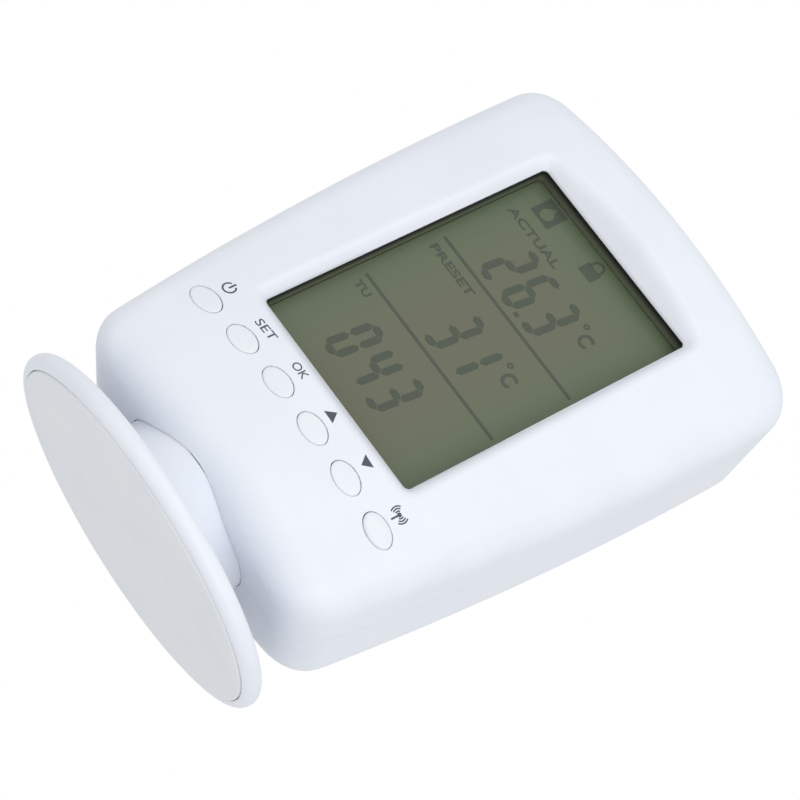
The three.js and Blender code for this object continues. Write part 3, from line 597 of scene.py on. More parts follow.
def roundedRectangle(halfWide, halfHigh, corner, across, up, cornerSteps=8):
    points = []
    for turn, x, z in ((0, 1, 1), (1, -1, 1), (2, -1, -1), (3, 1, -1)):
        start = Vector((x * (halfWide - corner), 0, z * (halfHigh - corner)))
        for step in range(cornerSteps + 1):
            angle = (turn + step / cornerSteps) * math.pi / 2
            points.append(start + corner * Vector((math.cos(angle), 0, math.sin(angle))))
        straight = (across if turn % 2 == 0 else up) - cornerSteps
        last = points[-1]
        run = 2 * (halfWide - corner) if turn % 2 == 0 else 2 * (halfHigh - corner)
        way = Vector((-1, 0, 0)) if turn == 0 else Vector((0, 0, -1)) if turn == 1 else \
            Vector((1, 0, 0)) if turn == 2 else Vector((0, 0, 1))
        points += [last + way * run * step / straight for step in range(1, straight)]
    return points


def closeWall(piece, thickness):  # gives a skin its wall inwards
    bpy.ops.object.mode_set(mode="OBJECT")
    solid = piece.modifiers.new("wall", "SOLIDIFY")
    solid.thickness, solid.offset = thickness, -1
    solid.use_even_offset = False
    applyModifiers(piece)
    edit()
    bpy.ops.mesh.select_all(action="SELECT")
    bpy.ops.mesh.remove_doubles(threshold=0.0005)
    pickNone()


def softenEdges(test, width, sharp=50, segments=2):
    def found(edge):
        joins = len(edge.link_faces) == 2
        return joins and edge.calc_face_angle(0) > math.radians(sharp) and test(middle(edge))

    pickNone()
    pick("edges", found)
    if countPicked():
        bpy.ops.mesh.bevel(offset=width, segments=segments, clamp_overlap=True)
    pickNone()


# front shell

keyNames = ("power", "set", "ok", "up", "down", "pair")
keyCentres = []
for keyName in keyNames:
    keyLow, keyHigh = caseBox("button_" + keyName)
    keyCentres.append(((keyLow.x + keyHigh.x) / 2, (keyLow.z + keyHigh.z) / 2))
keyZ = keyCentres[0][1]
keyPitch = keyCentres[1][0] - keyCentres[0][0]
keySize = dict(width=6.6, height=4.5, gap=0.16, stem=1.5)
blockLow, blockHigh = keyZ + 4.1, caseForm["windowHeight"] / 2 + 6.4


def frontShell():
    piece = wrapGrid(caseRows("front"))
    # the window: a rounded rectangle, bridged to the block that is cleared round it
    across = 31
    blockHalf = arcEndX * across / columns["arc"]
    pickNone()
    pick("faces", lambda face: face.normal.y < -0.2 and blockLow < face.calc_center_median().z < blockHigh
         and abs(face.calc_center_median().x) < blockHalf * halfWidth(face.calc_center_median().z) / maxHalf)
    bpy.ops.mesh.delete(type="FACE")
    pick("edges", lambda edge: edge.is_boundary and blockLow - 0.5 < middle(edge).z < blockHigh + 0.5
         and middle(edge).y < cornerY and abs(middle(edge).x) < blockHalf + 0.5)
    around = countPicked()
    window = roundedRectangle(caseForm["windowWidth"] / 2, caseForm["windowHeight"] / 2,
                              caseForm["windowCorner"], 2 * across, around // 2 - 2 * across)
    shape = bmesh.from_edit_mesh(piece.data)
    loop = [shape.verts.new(place) for place in window]
    for first, second in zip(loop, loop[1:] + loop[:1]):
        shape.edges.new((first, second)).select_set(True)
    bmesh.update_edit_mesh(piece.data)
    print("window loops", around, len(window))
    bpy.ops.mesh.bridge_edge_loops(number_cuts=15, interpolation="LINEAR")
    for centre in keyCentres:
        half = keyPitch / 2
        openBlock((centre[0] - half, keyZ - 4.1), (centre[0] + half, keyZ + 4.1), -1)
        gap = keySize["gap"]
        ovalHole(centre, keySize["width"] / 2 + gap, keySize["height"] / 2 + gap, frontDepth)
    # the front's places take their depth from the pocket's form
    bpy.ops.mesh.select_all(action="SELECT")
    crownTop = topZ - caseForm["top"][0] - 0.01

    def pocketed(place):  # the front's points take the window pocket's depth
        ahead = place.y < 2.5 and place.y < 0.1 + cornerY
        if not (ahead and keyZ - 8 < place.z < crownTop):
            return place
        return Vector((place.x, float(pocketDepth(place.x, place.z)), place.z))

    movePicked(pocketed)
    pickNone()
    # the window's inner wall
    pick("edges", lambda edge: edge.is_boundary and offWindow(middle(edge).x, middle(edge).z) < 0.3)
    bpy.ops.mesh.extrude_region_move(TRANSFORM_OT_translate=dict(value=(0, caseForm["wall"] + 0.3, 0)))
    pickNone()
    closeWall(piece, caseForm["wall"])
    carveNeckHole(piece)
    softenEdges(lambda place: place.y < splitY - 0.5, caseForm["edge"])
    return settle(piece, "front_shell", casePlace, "case", bodyWhite, ["front_cover"], 40)


frontPiece = frontShell()
print("front shell made", len(frontPiece.data.polygons))


# the rear shell, with a recess for the battery door and wells for the case screws

backForm = dict(
    doorGap=0.3, doorRecess=1.9, ledge=2.3, ledgeThickness=1.6, recessCorner=0.8,
    well=2.3, wellDepth=6.0, screwHole=1.2, wellBlock=3.4,
)
doorLow, doorHigh = caseBox("battery_door")
doorHalf = 13.6  # the panel without its hinge pins
doorMiddle = (doorLow.z + doorHigh.z) / 2
doorTall = (doorHigh.z - doorLow.z) / 2
screwSpots = []
for number in (1, 2, 3, 4):
    low, high = caseBox(f"case_screw_{number}")
    screwSpots.append(((low.x + high.x) / 2, (low.z + high.z) / 2))


def setDepth(depth):
    return lambda place: Vector((place.x, depth, place.z))


def rearShell():
    piece = wrapGrid(caseRows("rear"))
    for centre in screwSpots:
        half = backForm["wellBlock"]
        openBlock((centre[0] - half, centre[1] - half), (centre[0] + half, centre[1] + half), 1)
        ovalHole(centre, backForm["well"], backForm["well"], rearDepth)
        seat = backY - backForm["wellDepth"]
        hole = towards(centre, backForm["screwHole"], backForm["screwHole"], 1.0, lambda x, z: seat)
        growRings([setDepth(seat), hole, setDepth(seat - 1.2)])
    blockHalf, low, high = 19.5, doorLow.z - 5.5, doorHigh.z + 5.5
    pickNone()

    def aside(place):  # so that the block follows whole columns
        return abs(place.x) * float(halfWidth(doorMiddle) / halfWidth(place.z))

    pick("faces", lambda face: face.normal.y > 0.9 and low < face.calc_center_median().z < high
         and aside(face.calc_center_median()) < blockHalf)
    bpy.ops.mesh.delete(type="FACE")
    pick("edges", lambda edge: edge.is_boundary and low - 0.8 < middle(edge).z < high + 0.8
         and middle(edge).y > backY - 0.5 and aside(middle(edge)) < blockHalf + 0.8)
    around = countPicked()
    across = countPicked(lambda place: abs(place.z - doorMiddle) > (high - low) / 2 - 1.2) // 2
    shape = bmesh.from_edit_mesh(piece.data)
    wide, tall = doorHalf + backForm["doorGap"], doorTall + backForm["doorGap"]
    recess = roundedRectangle(wide, tall, backForm["recessCorner"], across, around // 2 - across, 5)
    loop = [shape.verts.new(place + Vector((0, backY, doorMiddle))) for place in recess]
    for first, second in zip(loop, loop[1:] + loop[:1]):
        shape.edges.new((first, second)).select_set(True)
    bmesh.update_edit_mesh(piece.data)
    bpy.ops.mesh.bridge_edge_loops(number_cuts=3, interpolation="LINEAR")
    pickNone()
    pick("edges", lambda edge: edge.is_boundary and abs(middle(edge).z - doorMiddle) < tall + 0.1
         and middle(edge).y > backY - 0.5 and abs(middle(edge).x) < wide + 0.1)
    floor = backY - backForm["doorRecess"]
    ledge = backForm["ledge"]

    def inwards(place):
        return Vector((place.x * (wide - ledge) / wide, floor,
                       doorMiddle + (place.z - doorMiddle) * (tall - ledge) / tall))

    growRings([setDepth(floor), inwards, setDepth(floor - 0.02)])
    closeWall(piece, backForm["ledgeThickness"])
    carveNeckHole(piece)
    softenEdges(lambda place: place.y > splitY + 0.5, caseForm["edge"])
    return settle(piece, "rear_shell", casePlace, "case", bodyWhite, ["rear_cover"], 40)


rearPiece = rearShell()
print("rear shell made", len(rearPiece.data.polygons))


# keys: an oval cap with a soft edge, on a flange and a stem

def keyCap(name, centre, rings):
    low, high = caseBox("button_" + name)
    node = frame["nodes"]["button_" + name]
    inverse = casePlace.inverted()
    places = [inverse @ vertex.co for vertex in node.data.vertices]
    flange = [place.y for place in places if abs(place.x - centre[0]) > 0.98 * (high.x - centre[0])]
    halfWide, halfHigh = keySize["width"] / 2, keySize["height"] / 2
    rimWide, rimHigh = (high.x - low.x) / 2, (high.z - low.z) / 2
    fresh()
    bpy.ops.mesh.primitive_circle_add(vertices=72, radius=keySize["stem"], fill_type="NGON")
    piece = bpy.context.object
    edit()
    bpy.ops.mesh.select_all(action="SELECT")

    def ring(wide, tall, depth):
        def where(place):
            turn = math.atan2((place.z - centre[1]) / where.last[1], (place.x - centre[0]) / where.last[0])
            x, z = centre[0] + wide * math.cos(turn), centre[1] + tall * math.sin(turn)
            return Vector((x, depth if isinstance(depth, float) else float(depth(x, z)), z))
        where.last = ring.last
        ring.last = (wide, tall)
        return where

    def onFront(behind):
        return lambda x, z: frontDepth(x, z) + behind

    movePicked(lambda place: Vector((centre[0] + place.x, high.y, centre[1] + place.y)))
    ring.last = (1, 1)
    steps = [(keySize["stem"], keySize["stem"], max(flange)), (rimWide, rimHigh, max(flange)),
             (rimWide, rimHigh, min(flange)), (halfWide, halfHigh, min(flange))]
    growRings([ring(*step) for step in steps])
    growRings([ring(halfWide - inset, halfHigh - inset, onFront(behind)) for inset, behind in rings])
    bpy.ops.mesh.merge(type="CENTER")
    bpy.ops.mesh.select_all(action="SELECT")
    bpy.ops.mesh.normals_make_consistent(inside=False)
    body = "key_" + name
    return settle(piece, body, casePlace, body, keyPlastic, ["button_" + name], 45)


flatRings = ((0, 0.2), (0.06, 0.05), (0.18, -0.03), (0.4, -0.08), (0.8, -0.11), (1.3, -0.13), (1.9, -0.14))
domeRings = ((0, 0.15), (0.04, -0.05), (0.14, -0.22), (0.34, -0.36), (0.7, -0.47), (1.2, -0.54), (1.9, -0.57))
for keyName, keyCentre in zip(keyNames, keyCentres):
    keyCap(keyName, keyCentre, domeRings if keyName == "pair" else flatRings)
print("keys made")


# the battery door, hinged at its lower edge

doorForm = dict(edge=0.35, dishWide=12.0, dishTall=4.4, dishDepth=0.7, dishBelowTop=5.0, pin=0.5, ribs=4)


def batteryDoor():
    thickness = doorHigh.y - doorLow.y
    hingeZ, hingeY = doorLow.z + thickness / 2, (doorLow.y + doorHigh.y) / 2
    piece = solidStart("cube", size=1, location=(0, hingeY, (hingeZ + doorHigh.z) / 2),
                       scale=(2 * doorHalf, thickness, doorHigh.z - hingeZ))
    bpy.ops.object.transform_apply(location=True, scale=True)
    edit()
    pickNone()
    pick("edges", lambda edge: middle(edge).z > hingeZ + 1 or middle(edge).y > hingeY + 0.1)
    bpy.ops.mesh.bevel(offset=doorForm["edge"], segments=4)
    bpy.ops.object.mode_set(mode="OBJECT")
    barrel = dict(vertices=32, rotation=(0, math.pi / 2, 0), location=(0, hingeY, hingeZ))
    carve(piece, solidStart("cylinder", radius=thickness / 2, depth=2 * doorHalf, **barrel), "UNION")
    doorWidth = doorHigh.x - doorLow.x
    carve(piece, solidStart("cylinder", radius=doorForm["pin"], depth=doorWidth, **barrel), "UNION")
    dishZ = doorHigh.z - doorForm["dishBelowTop"]
    across, deep = doorForm["dishWide"] / 2, doorForm["dishDepth"]
    carve(piece, solidStart("uv_sphere", segments=64, ring_count=32, location=(0, doorHigh.y, dishZ),
                            scale=(across, deep, doorForm["dishTall"] / 2)))
    for rib in range(doorForm["ribs"]):  # grip grooves under the finger dish
        groove = dict(vertices=16, radius=0.28, depth=across * 1.6, rotation=(0, math.pi / 2, 0))
        place = (0, doorHigh.y + 0.1, dishZ - 4.2 - 1.3 * rib)
        carve(piece, solidStart("cylinder", location=place, **groove))
    carve(piece, solidStart("cube", size=1, location=(0, doorLow.y, doorHigh.z), scale=(6.4, 1.2, 6)))
    return settle(piece, "door_panel", casePlace, "door", bodyWhite, ["battery_door"], 30)


batteryDoor()
print("door made")


# the foot, its pad and the neck, turned about the upright axis

footForm = dict(
    rimRound=1.75, pad=32.0, padRound=0.45, groove=0.12,
    web=2.8, recess=1.5, ballast=27.3, segments=144,
)
neckForm = dict(
    shoulder=0.16, lipAboveRing=0.12, belowRing=0.3, stem=12.7, head=15.0,
    headThickness=2.0, bore=8.0, floor=2.8, foot=0.25,
)


def arc(middleR, middleZ, radius, start, end, steps):
    angles = [math.radians(start + (end - start) * step / steps) for step in range(steps + 1)]
    return [(middleR + radius * math.cos(angle), middleZ + radius * math.sin(angle)) for angle in angles]


def turnedPiece(profile):  # profile runs from the axis, round outside, and back to the axis
    piece = solidStart("circle", vertices=footForm["segments"], radius=1, fill_type="NOTHING")
    edit()
    bpy.ops.mesh.select_all(action="SELECT")

    def ring(radius, height):
        return lambda place: Vector((*(place.xy.normalized() * radius), height))

    movePicked(ring(*profile[0]))
    growRings([ring(*point) for point in profile[1:]])
    bpy.ops.mesh.select_all(action="SELECT")
    bpy.ops.mesh.remove_doubles(threshold=0.02)
    bpy.ops.mesh.select_all(action="SELECT")
    bpy.ops.mesh.normals_make_consistent(inside=False)
    bpy.ops.object.mode_set(mode="OBJECT")
    return piece


def steppedDisc(radii, height):  # points out from the axis, so that no face is a long sliver
    return [(radius, height) for radius in radii]


def footPieces():
    low, high = footBox("foot_disc")
    rim, edge = high.x, footForm["rimRound"]
    inner = footForm["pad"] + footForm["groove"]
    profile = steppedDisc((0.002, 9, 18, footForm["ballast"]), footForm["web"])
    profile += [(footForm["ballast"], footForm["recess"]), (inner, footForm["recess"]), (inner, low.z + 0.3)]
    profile += [(inner + 0.08, low.z + 0.12), (inner + 0.3, low.z)]
    profile += arc(rim - edge, low.z + edge, edge, -90, 0, 10)
    profile += arc(rim - edge, high.z - edge, edge, 0, 90, 10)
    profile += steppedDisc((28, 22, 17.5, 9, 0.002), high.z)
    disc = turnedPiece(profile)
    for number in (1, 2, 3):
        first, last = footBox(f"neck_screw_{number}")
        spot = (first + last) / 2
        carve(disc, solidStart("cylinder", vertices=24, radius=1.2, depth=6, location=spot))
    settle(disc, "foot_base", footPlace, "foot", footWhite, ["foot_disc"], 32)
    padLow, padHigh = footBox("foot_pad")
    reach, round_ = padHigh.x, footForm["padRound"]
    profile = steppedDisc((0.002, 8, 16, 24), padLow.z)
    profile = profile + arc(reach - round_, padLow.z + round_, round_, -90, 0, 6)
    profile += [(reach, padHigh.z)] + steppedDisc((24, 12, 0.002), padHigh.z)
    settle(turnedPiece(profile), "foot_cushion", footPlace, "foot", padGrey, ["foot_pad"], 35)
    low, high = footBox("neck")
    ringLow, ringHigh = footBox("friction_ring")
    ringZ = ringLow.z
    wide, shoulder, flare = high.x, neckForm["shoulder"], neckForm["foot"]
    top = ringZ - neckForm["belowRing"]
    profile = steppedDisc((0.002, 8), low.z) + arc(wide - flare, low.z + flare, flare, -90, 0, 4)
    lipZ = footBox("friction_ring")[1].z + neckForm["lipAboveRing"]
    profile += [(wide, 7.5)] + arc(wide - shoulder, lipZ - shoulder, shoulder, 0, 90, 5)
    profile += [(ringHigh.x + 0.06, lipZ), (ringHigh.x + 0.06, top)]
    headZ = high.z - neckForm["headThickness"]
    profile += [(neckForm["stem"], top), (neckForm["stem"], headZ), (neckForm["head"], headZ)]
    profile += [(neckForm["head"], high.z), (neckForm["bore"], high.z)]
    profile += [(neckForm["bore"], low.z + neckForm["floor"])]
    profile += [(0.002, low.z + neckForm["floor"])]
    puck = turnedPiece(profile)
    for number in (1, 2, 3):
        first, last = footBox(f"neck_screw_{number}")
        spot = ((first.x + last.x) / 2, (first.y + last.y) / 2, low.z + 2.3)
        carve(puck, solidStart("cylinder", vertices=24, radius=1.2, depth=6, location=spot))
    settle(puck, "neck_puck", footPlace, "foot", footWhite, ["neck"], 32)


def neckLip():  # the ceiling of the case's recess, which the neck's friction ring bears on
    ringHigh = footBox("friction_ring")[1].z
    inner, outer = neckForm["stem"] + 0.3, holeRadius + 0.25
    low, high = ringHigh + 0.3, ringHigh + 1.9
    edge = 0.1
    profile = [(inner, low), (outer, low), (outer, high - edge)]
    profile += [(outer - edge, high), (inner, high), (inner, low)]
    settle(turnedPiece(profile), "neck_lip", footPlace, "case", bodyWhite, (), 32)


padGrey = padRubber()
footPieces()
neckLip()
print("foot made")


# the two cells, whose plus ends point opposite ways

cellForm = dict(edge=0.7, nub=1.9, nubHeight=0.9, groove=0.12, crimp=1.6)


def batteryCell(number, plusUp):
    low, high = caseBox(f"battery_{number}")
    radius, length = (high.x - low.x) / 2, high.z - low.z
    edge, can = cellForm["edge"], high.z - low.z - cellForm["nubHeight"]
    profile = steppedDisc((0.002, 2.6), 0) + [(2.8, 0.15), (radius - edge - 0.3, 0.15)]
    profile += arc(radius - edge, edge, edge, -90, 0, 6)
    profile += [(radius, cellForm["crimp"]), (radius - cellForm["groove"], cellForm["crimp"] + 0.15)]
    profile += [(radius - cellForm["groove"], cellForm["crimp"] + 0.45), (radius, cellForm["crimp"] + 0.6)]
    profile += arc(radius - edge, can - edge, edge, 0, 90, 6) + [(cellForm["nub"], can)]
    profile += arc(cellForm["nub"] - 0.3, length - 0.3, 0.3, 0, 90, 4) + [(0.002, length)]
    piece = turnedPiece(profile)
    middleX, middleY = (low.x + high.x) / 2, (low.y + high.y) / 2
    upright = Matrix.Translation((middleX, middleY, low.z))
    upsideDown = Matrix.Translation((middleX, middleY, high.z)) @ Matrix.Rotation(math.pi, 4, "X")
    settle(piece, f"cell_{number}", casePlace @ (upright if plusUp else upsideDown), "case",
           cellSleeve(number, plusUp), [f"battery_{number}"], 32)


batteryCell(1, True)
batteryCell(2, False)
print("cells made")


# the display: dark segments and words on the glass, and the window's dark liner with its painted shadow and
# painted reflection

segmentForm = dict(thick=1.42, lean=1.0 / 12, gap=0.14, relief=0.04)
readings = (  # text, bottom, top, x of the left of each digit's frame, digit's width
    ("26.3", 9.3, 21.3, (-11.0, -4.9, 0.5, 1.25), 4.4),
    ("31", -8.8, 3.1, (-4.6, 1.35), 4.4),
    ("043", -26.3, -14.9, (-11.1, -4.95, 0.95), 4.3),
)
digitParts = dict(zip("0123456789", ("abcdef", "bc", "abged", "abgcd", "fgbc", "afgcd", "afgedc", "abc",
                                     "abcdefg", "abcdfg")))


def flatShape(points):  # a thin raised outline on the glass
    piece = solidStart("circle", vertices=len(points), radius=1, fill_type="NGON")
    edit()
    bpy.ops.mesh.select_all(action="SELECT")
    placePicked([(x, glassFront, z) for x, z in points])
    bpy.ops.mesh.extrude_region_move(TRANSFORM_OT_translate=dict(value=(0, -segmentForm["relief"], 0)))
    bpy.ops.mesh.select_all(action="SELECT")
    bpy.ops.mesh.normals_make_consistent(inside=False)
    bpy.ops.object.mode_set(mode="OBJECT")
    return piece


def bar(x0, z0, x1, z1, thick, pointed=0.5, slant=None):  # a bar with pointed ends, leaning with its digit
    along = Vector((x1 - x0, z1 - z0)).normalized()
    across = Vector((-along.y, along.x)) * thick / 2
    first, last = Vector((x0, z0)), Vector((x1, z1))
    tip = along * thick * pointed
    points = [first, first + tip - across, last - tip - across]
    points += [last, last - tip + across, first + tip + across]
    if slant:
        points = [Vector((point.x + (point.y - slant[0]) * slant[1], point.y)) for point in points]
    return flatShape(points)


def digitBars(character, x, low, high, width):
    thick, gap = segmentForm["thick"], segmentForm["gap"]
    left, right = x + thick / 2, x + width - thick / 2
    bottom, top = low + thick / 2, high - thick / 2
    centre = (bottom + top) / 2
    spans = dict(a=(left, top, right, top), g=(left, centre, right, centre), d=(left, bottom, right, bottom),
                 f=(left, centre, left, top), b=(right, centre, right, top),
                 e=(left, bottom, left, centre), c=(right, bottom, right, centre))
    made = []
    for part in digitParts[character]:
        x0, z0, x1, z1 = spans[part]
        flat = z0 == z1
        x0, x1 = (x0 + gap, x1 - gap) if flat else (x0, x1)
        z0, z1 = (z0, z1) if flat else (z0 + gap, z1 - gap)
        made.append(bar(x0, z0, x1, z1, thick, 0.5, (low, segmentForm["lean"])))
    return made


def discShape(x, z, radius, hole=0.0, steps=28, missing=()):
    turns = [2 * math.pi * step / steps for step in range(steps)]
    if not hole:
        return [flatShape([(x + radius * math.cos(turn), z + radius * math.sin(turn)) for turn in turns])]
    made = []
    for first, second in zip(turns, turns[1:] + [2 * math.pi]):
        corners = [(hole, first), (radius, first), (radius, second), (hole, second)]
        if missing and missing[0] < math.degrees(first + second) / 2 < missing[1]:
            continue
        outline = [(x + reach * math.cos(turn), z + reach * math.sin(turn)) for reach, turn in corners]
        made.append(flatShape(outline))
    return made


def words(text, x, z, height, width, relief=0.04, front=None, spread=0.0):  # generic words, made a mesh
    fresh()
    bpy.ops.object.text_add()
    piece = bpy.context.object
    piece.data.body, piece.data.size = text, 1
    piece.data.resolution_u = 4
    piece.data.offset = spread
    piece.data.extrude = 0.5
    bpy.ops.object.convert(target="MESH")
    piece = bpy.context.object
    places = np.array([vertex.co for vertex in piece.data.vertices])
    low, high = places.min(0), places.max(0)
    for vertex in piece.data.vertices:
        right = x + (vertex.co.x - low[0]) / (high[0] - low[0]) * width
        up = z + (vertex.co.y - low[1]) / (high[1] - low[1]) * height
        ahead = (vertex.co.z - low[2]) / (high[2] - low[2]) * relief
        vertex.co = (right, (front(right, up) if front else glassFront) - ahead, up)
    return piece


def joined(pieces):
    fresh()
    for piece in pieces:
        piece.select_set(True)
    bpy.context.view_layer.objects.active = pieces[0]
    bpy.ops.object.join()
    return bpy.context.object


glassFront = display["depth"] - 0.005


def framed(outline, box):  # a dark box round a clear outline
    middleX, middleZ = (box[0] + box[2]) / 2, (box[1] + box[3]) / 2
    halfX, halfZ = (box[2] - box[0]) / 2, (box[3] - box[1]) / 2

    def onBox(point):
        x, z = (point[0] - middleX) / halfX, (point[1] - middleZ) / halfZ
        reach = max(abs(x), abs(z))
        return middleX + halfX * x / reach, middleZ + halfZ * z / reach

    corners = [(box[0], box[1]), (box[2], box[1]), (box[2], box[3]), (box[0], box[3])]
    made = []
    for first, second in zip(outline, outline[1:] + outline[:1]):
        start, end = onBox(first), onBox(second)
        turned = [math.atan2(point[1] - middleZ, point[0] - middleX) for point in (start, end)]
        between = [corner for corner in corners
                   if 0 < (math.atan2(corner[1] - middleZ, corner[0] - middleX) - turned[0]) % (2 * math.pi)
                   < (turned[1] - turned[0]) % (2 * math.pi)]
        made.append(flatShape([first, start, *between, end, second]))
    return made


def displayContent():
    made = []
    for text, low, high, spots, width in readings:
        for character, x in zip(text, spots):
            if character == ".":
                made.append(bar(x - 0.6, low + 0.5, x + 0.45, low + 0.5, 0.9, 0.05))
            else:
                made += digitBars(character, x, low, high, width)
    for top in (20.2, 2.0):  # degrees Celsius
        made += discShape(8.4, top + 0.1, 0.62, 0.3, 16)
        made.append(words("C", 9.3, top - 3.7, 3.3, 2.5, spread=0.03))
    for z in (7.8, -10.3):  # dividing lines
        made.append(bar(-18.6, z, 18.8, z, 0.6, 0.0))
    made.append(words("ACTUAL", -18.3, 22.4, 1.9, 14.2, spread=0.02))
    made.append(words("PRESET", -18.2, 3.9, 1.8, 11.8, spread=0.02))
    made.append(words("TU", -18.2, -13.6, 1.7, 3.6, spread=0.02))
    # a flame in a box, and a padlock
    flame = [(-14.0, 27.3), (-13.0, 27.7), (-12.6, 28.7), (-12.9, 29.6), (-13.5, 30.2),
             (-13.8, 31.3), (-14.6, 30.4),
             (-15.2, 29.5), (-15.3, 28.5), (-14.9, 27.6)]
    made += framed(flame, (-16.5, 26.7, -11.5, 31.8))
    made.append(flatShape([(-2.3, 26.9), (1.2, 26.9), (1.2, 29.6), (-2.3, 29.6)]))
    arch = [(math.radians(180 * step / 10), 1.4) for step in range(11)]
    for (first, reach), (second, _) in zip(arch, arch[1:]):
        corners = [(reach - 0.5, first), (reach, first), (reach, second), (reach - 0.5, second)]
        outline = [(-0.55 + r * math.cos(turn), 30.4 + r * math.sin(turn)) for r, turn in corners]
        made.append(flatShape(outline))
    made += [bar(-1.7, 29.5, -1.7, 30.45, 0.5, 0.0), bar(0.6, 29.5, 0.6, 30.45, 0.5, 0.0)]
    settle(joined(made), "display_segments", casePlace, "case", segmentInk(), (), 20)


displayContent()


def windowLiner():
    form = caseForm
    tall, wide = form["windowHeight"] / 2, form["windowWidth"] / 2
    loop = roundedRectangle(wide - 0.02, tall - 0.02, form["windowCorner"], 40, 62)
    piece = solidStart("circle", vertices=len(loop), radius=1, fill_type="NOTHING")
    edit()
    bpy.ops.mesh.select_all(action="SELECT")
    placePicked([place + Vector((0, 0.22, 0)) for place in loop])

    def spread(before, now, depth):  # from one distance outside the window to another
        across, up = (wide + now) / (wide + before), (tall + now) / (tall + before)
        return lambda place: Vector((place.x * across, depth, place.z * up))

    low, high = caseBox("window_gasket")
    reach, inner = high.x - wide - 0.05, -0.09
    rings = [(0, 0, low.y + 0.1), (0, reach, low.y + 0.1), (reach, reach, high.y), (reach, inner, high.y),
             (inner, inner, display["depth"] - 0.01), (inner, inner, 0.26),
             (inner, inner / 2, 0.2), (inner / 2, 0, 0.22)]
    growRings([spread(*ring) for ring in rings])
    bpy.ops.mesh.select_all(action="SELECT")
    bpy.ops.mesh.remove_doubles(threshold=0.03)
    bpy.ops.mesh.select_all(action="SELECT")
    bpy.ops.mesh.normals_make_consistent(inside=False)
    settle(piece, "window_liner", casePlace, "case", linerWithPaintedShadow(), ["window_gasket"], 35)


windowLiner()
print("display made")


# printed signs over the keys

def onCrown(x, z):
    return float(frontDepth(x, z)) - 0.005


def printed(pieces):  # lays flat outlines on the crowned front
    for piece in pieces:
        for vertex in piece.data.vertices:
            ahead = glassFront - vertex.co.y
            vertex.co.y = onCrown(vertex.co.x, vertex.co.z) - ahead * 0.5
    return pieces


def keySigns():
    made = discShape(-25.1, -37.4, 1.3, 0.98, 36, (58, 122)) + [bar(-25.1, -37.5, -25.1, -35.9, 0.36, 0.0)]
    made.append(flatShape([(3.2, -38.7), (5.8, -38.7), (4.5, -36.8)]))
    made.append(flatShape([(13.0, -36.8), (14.3, -38.6), (15.6, -36.8)]))
    made += discShape(24.4, -37.3, 0.42, steps=16) + [bar(24.4, -39.1, 24.4, -37.3, 0.32, 0.0)]
    for reach in (0.78, 1.22, 1.66):
        for side in (0, math.pi):
            for step in range(6):
                first, second = (side + math.radians(-42 + 14 * (step + part)) for part in (0, 1))
                corners = [(reach - 0.24, first), (reach, first), (reach, second), (reach - 0.24, second)]
                outline = [(24.4 + r * math.cos(turn), -37.3 + r * math.sin(turn)) for r, turn in corners]
                made.append(flatShape(outline))
    made = printed(made)
    for text, x, width in (("SET", -17.0, 4.7), ("OK", -6.8, 3.4)):
        made.append(words(text, x, -38.5, 1.7, width, 0.02, onCrown, 0.004))
    settle(joined(made), "key_signs", casePlace, "case", labelInk(), (), 20)


keySigns()
print("signs printed")


# finishes of the CAD nodes that stay

finishOf = dict(
    lcd_glass=displayGlass(), lcd_frame=natural,
    light_guide=natural, battery_tray=bodyWhite, friction_ring=natural,
    main_board=boardLacquer(), processor=black, temperature_sensor=sensorCoat, zebra_strip=foam, switch=black,
    capacitor=black, ballast_plate=steel, crystal=steel, radio_can=steel, antenna=steel,
    neck_screw=steel, case_screw=steel, board_screw=steel,
    spring=steel, contact_link=steel, contact_plate=steel,
)
finishOf["radio_board"] = finishOf["main_board"]
for name, node in frame["nodes"].items():
    kind = name.rstrip("0123456789").rstrip("_")
    if kind in finishOf:
        node.data.materials.clear()
        node.data.materials.append(finishOf[kind])
print("nodes finished")


# camera, floor and light

# millimetres; the place is in the upright case's frame
lens = dict(focal=147.9, place=(159.8, -445.0, -316.7))
# right, up, back
cameraAxes = ((0.578, -0.3014, 0.7583), (-0.7676, -0.5162, 0.3799), (0.277, -0.8017, -0.5297))


def addCamera():
    data = bpy.data.cameras.new("camera")
    data.lens, data.sensor_width = lens["focal"], 36
    data.clip_start, data.clip_end = 0.01, 20
    camera = bpy.data.objects.new("camera", data)
    bpy.context.scene.collection.objects.link(camera)
    turn = Matrix.Rotation(-lean, 3, "X")
    axes = Matrix([turn @ Vector(axis) for axis in cameraAxes]).transposed()
    camera.matrix_world = Matrix.Translation(casePlace @ Vector(lens["place"])) @ axes.to_4x4()
    bpy.context.scene.camera = camera


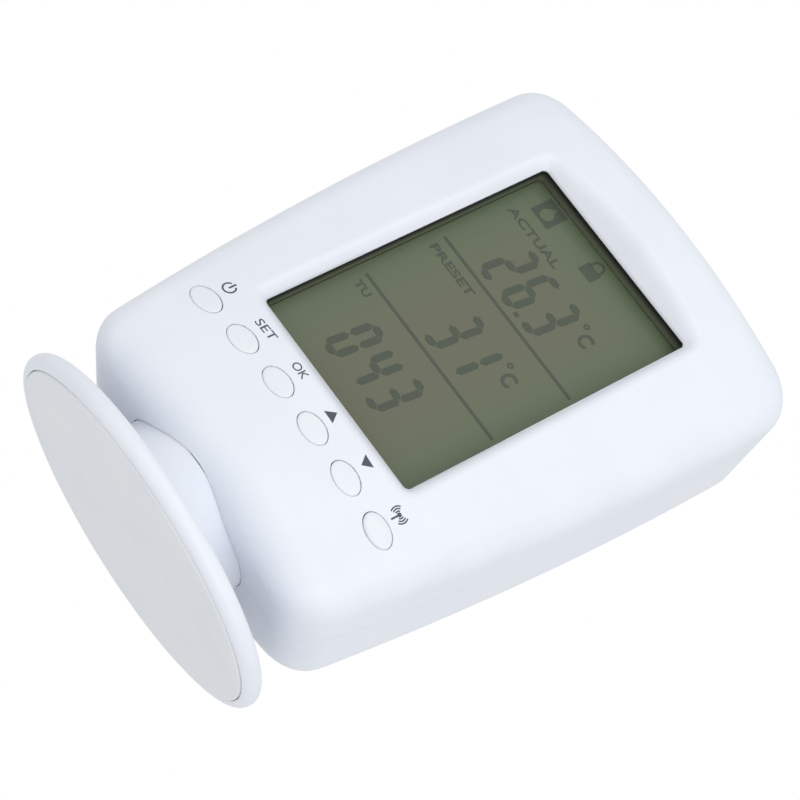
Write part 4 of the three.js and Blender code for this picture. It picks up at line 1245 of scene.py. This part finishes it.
def addFloor():
    floor = solidStart("plane", size=3)
    floor.name = floor.data.name = "floor"
    finish = Finish("pale_floor")
    grain = finish.noise(30, 2, 0.5)
    finish.set(Base_Color=finish.blend(grain, shade(232, 233, 236), shade(228, 230, 233)), Roughness=0.8)
    clear = finish.tree.nodes.new("ShaderNodeBsdfTransparent")
    mix = finish.tree.nodes.new("ShaderNodeMixShader")
    behind = finish.node("ShaderNodeNewGeometry", {}, {}, "Backfacing")
    plug(mix.inputs[0], behind)
    finish.tree.links.new(finish.shader.outputs[0], mix.inputs[1])
    finish.tree.links.new(clear.outputs[0], mix.inputs[2])
    finish.tree.links.new(mix.outputs[0], finish.tree.nodes["Material Output"].inputs[0])
    floor.data.materials.append(finish.material)
    floor.visible_shadow = floor.visible_diffuse = floor.visible_glossy = False


def softLight(name, place, aim, size, power, tint=(1, 1, 1)):
    data = bpy.data.lights.new(name, "AREA")
    data.shape, data.size, data.energy, data.color = "DISK", size, power, tint
    light = bpy.data.objects.new(name, data)
    bpy.context.scene.collection.objects.link(light)
    light.location = place
    light.rotation_euler = (Vector(aim) - Vector(place)).to_track_quat("-Z", "Y").to_euler()


def addWorld(ambient, tint):
    world = bpy.data.worlds.new("studio")
    bpy.context.scene.world = world
    world.use_nodes = True
    nodes, links = world.node_tree.nodes, world.node_tree.links
    seen = nodes["Background"]
    seen.inputs[0].default_value, seen.inputs[1].default_value = (1, 1, 1, 1), 1.0
    soft = nodes.new("ShaderNodeBackground")
    soft.inputs[0].default_value, soft.inputs[1].default_value = (*tint, 1), ambient
    mix, path = nodes.new("ShaderNodeMixShader"), nodes.new("ShaderNodeLightPath")
    links.new(path.outputs["Is Camera Ray"], mix.inputs[0])
    links.new(soft.outputs[0], mix.inputs[1])
    links.new(seen.outputs[0], mix.inputs[2])
    links.new(mix.outputs[0], nodes["World Output"].inputs[0])


addCamera()
addFloor()
addWorld(0.8, (0.965, 0.98, 1.0))
softLight("front_light", (0.1, -0.9, 0.55), (0, 0, 0.06), 0.8, 1.9)
softLight("side_light", (0.8, -0.7, -0.05), (0, 0, 0.04), 0.8, 2.3)
softLight("low_light", (-0.1, -0.45, -0.85), (0, 0, 0.03), 0.8, 0.5)
bpy.context.scene.view_settings.view_transform = "Standard"
print("studio set")
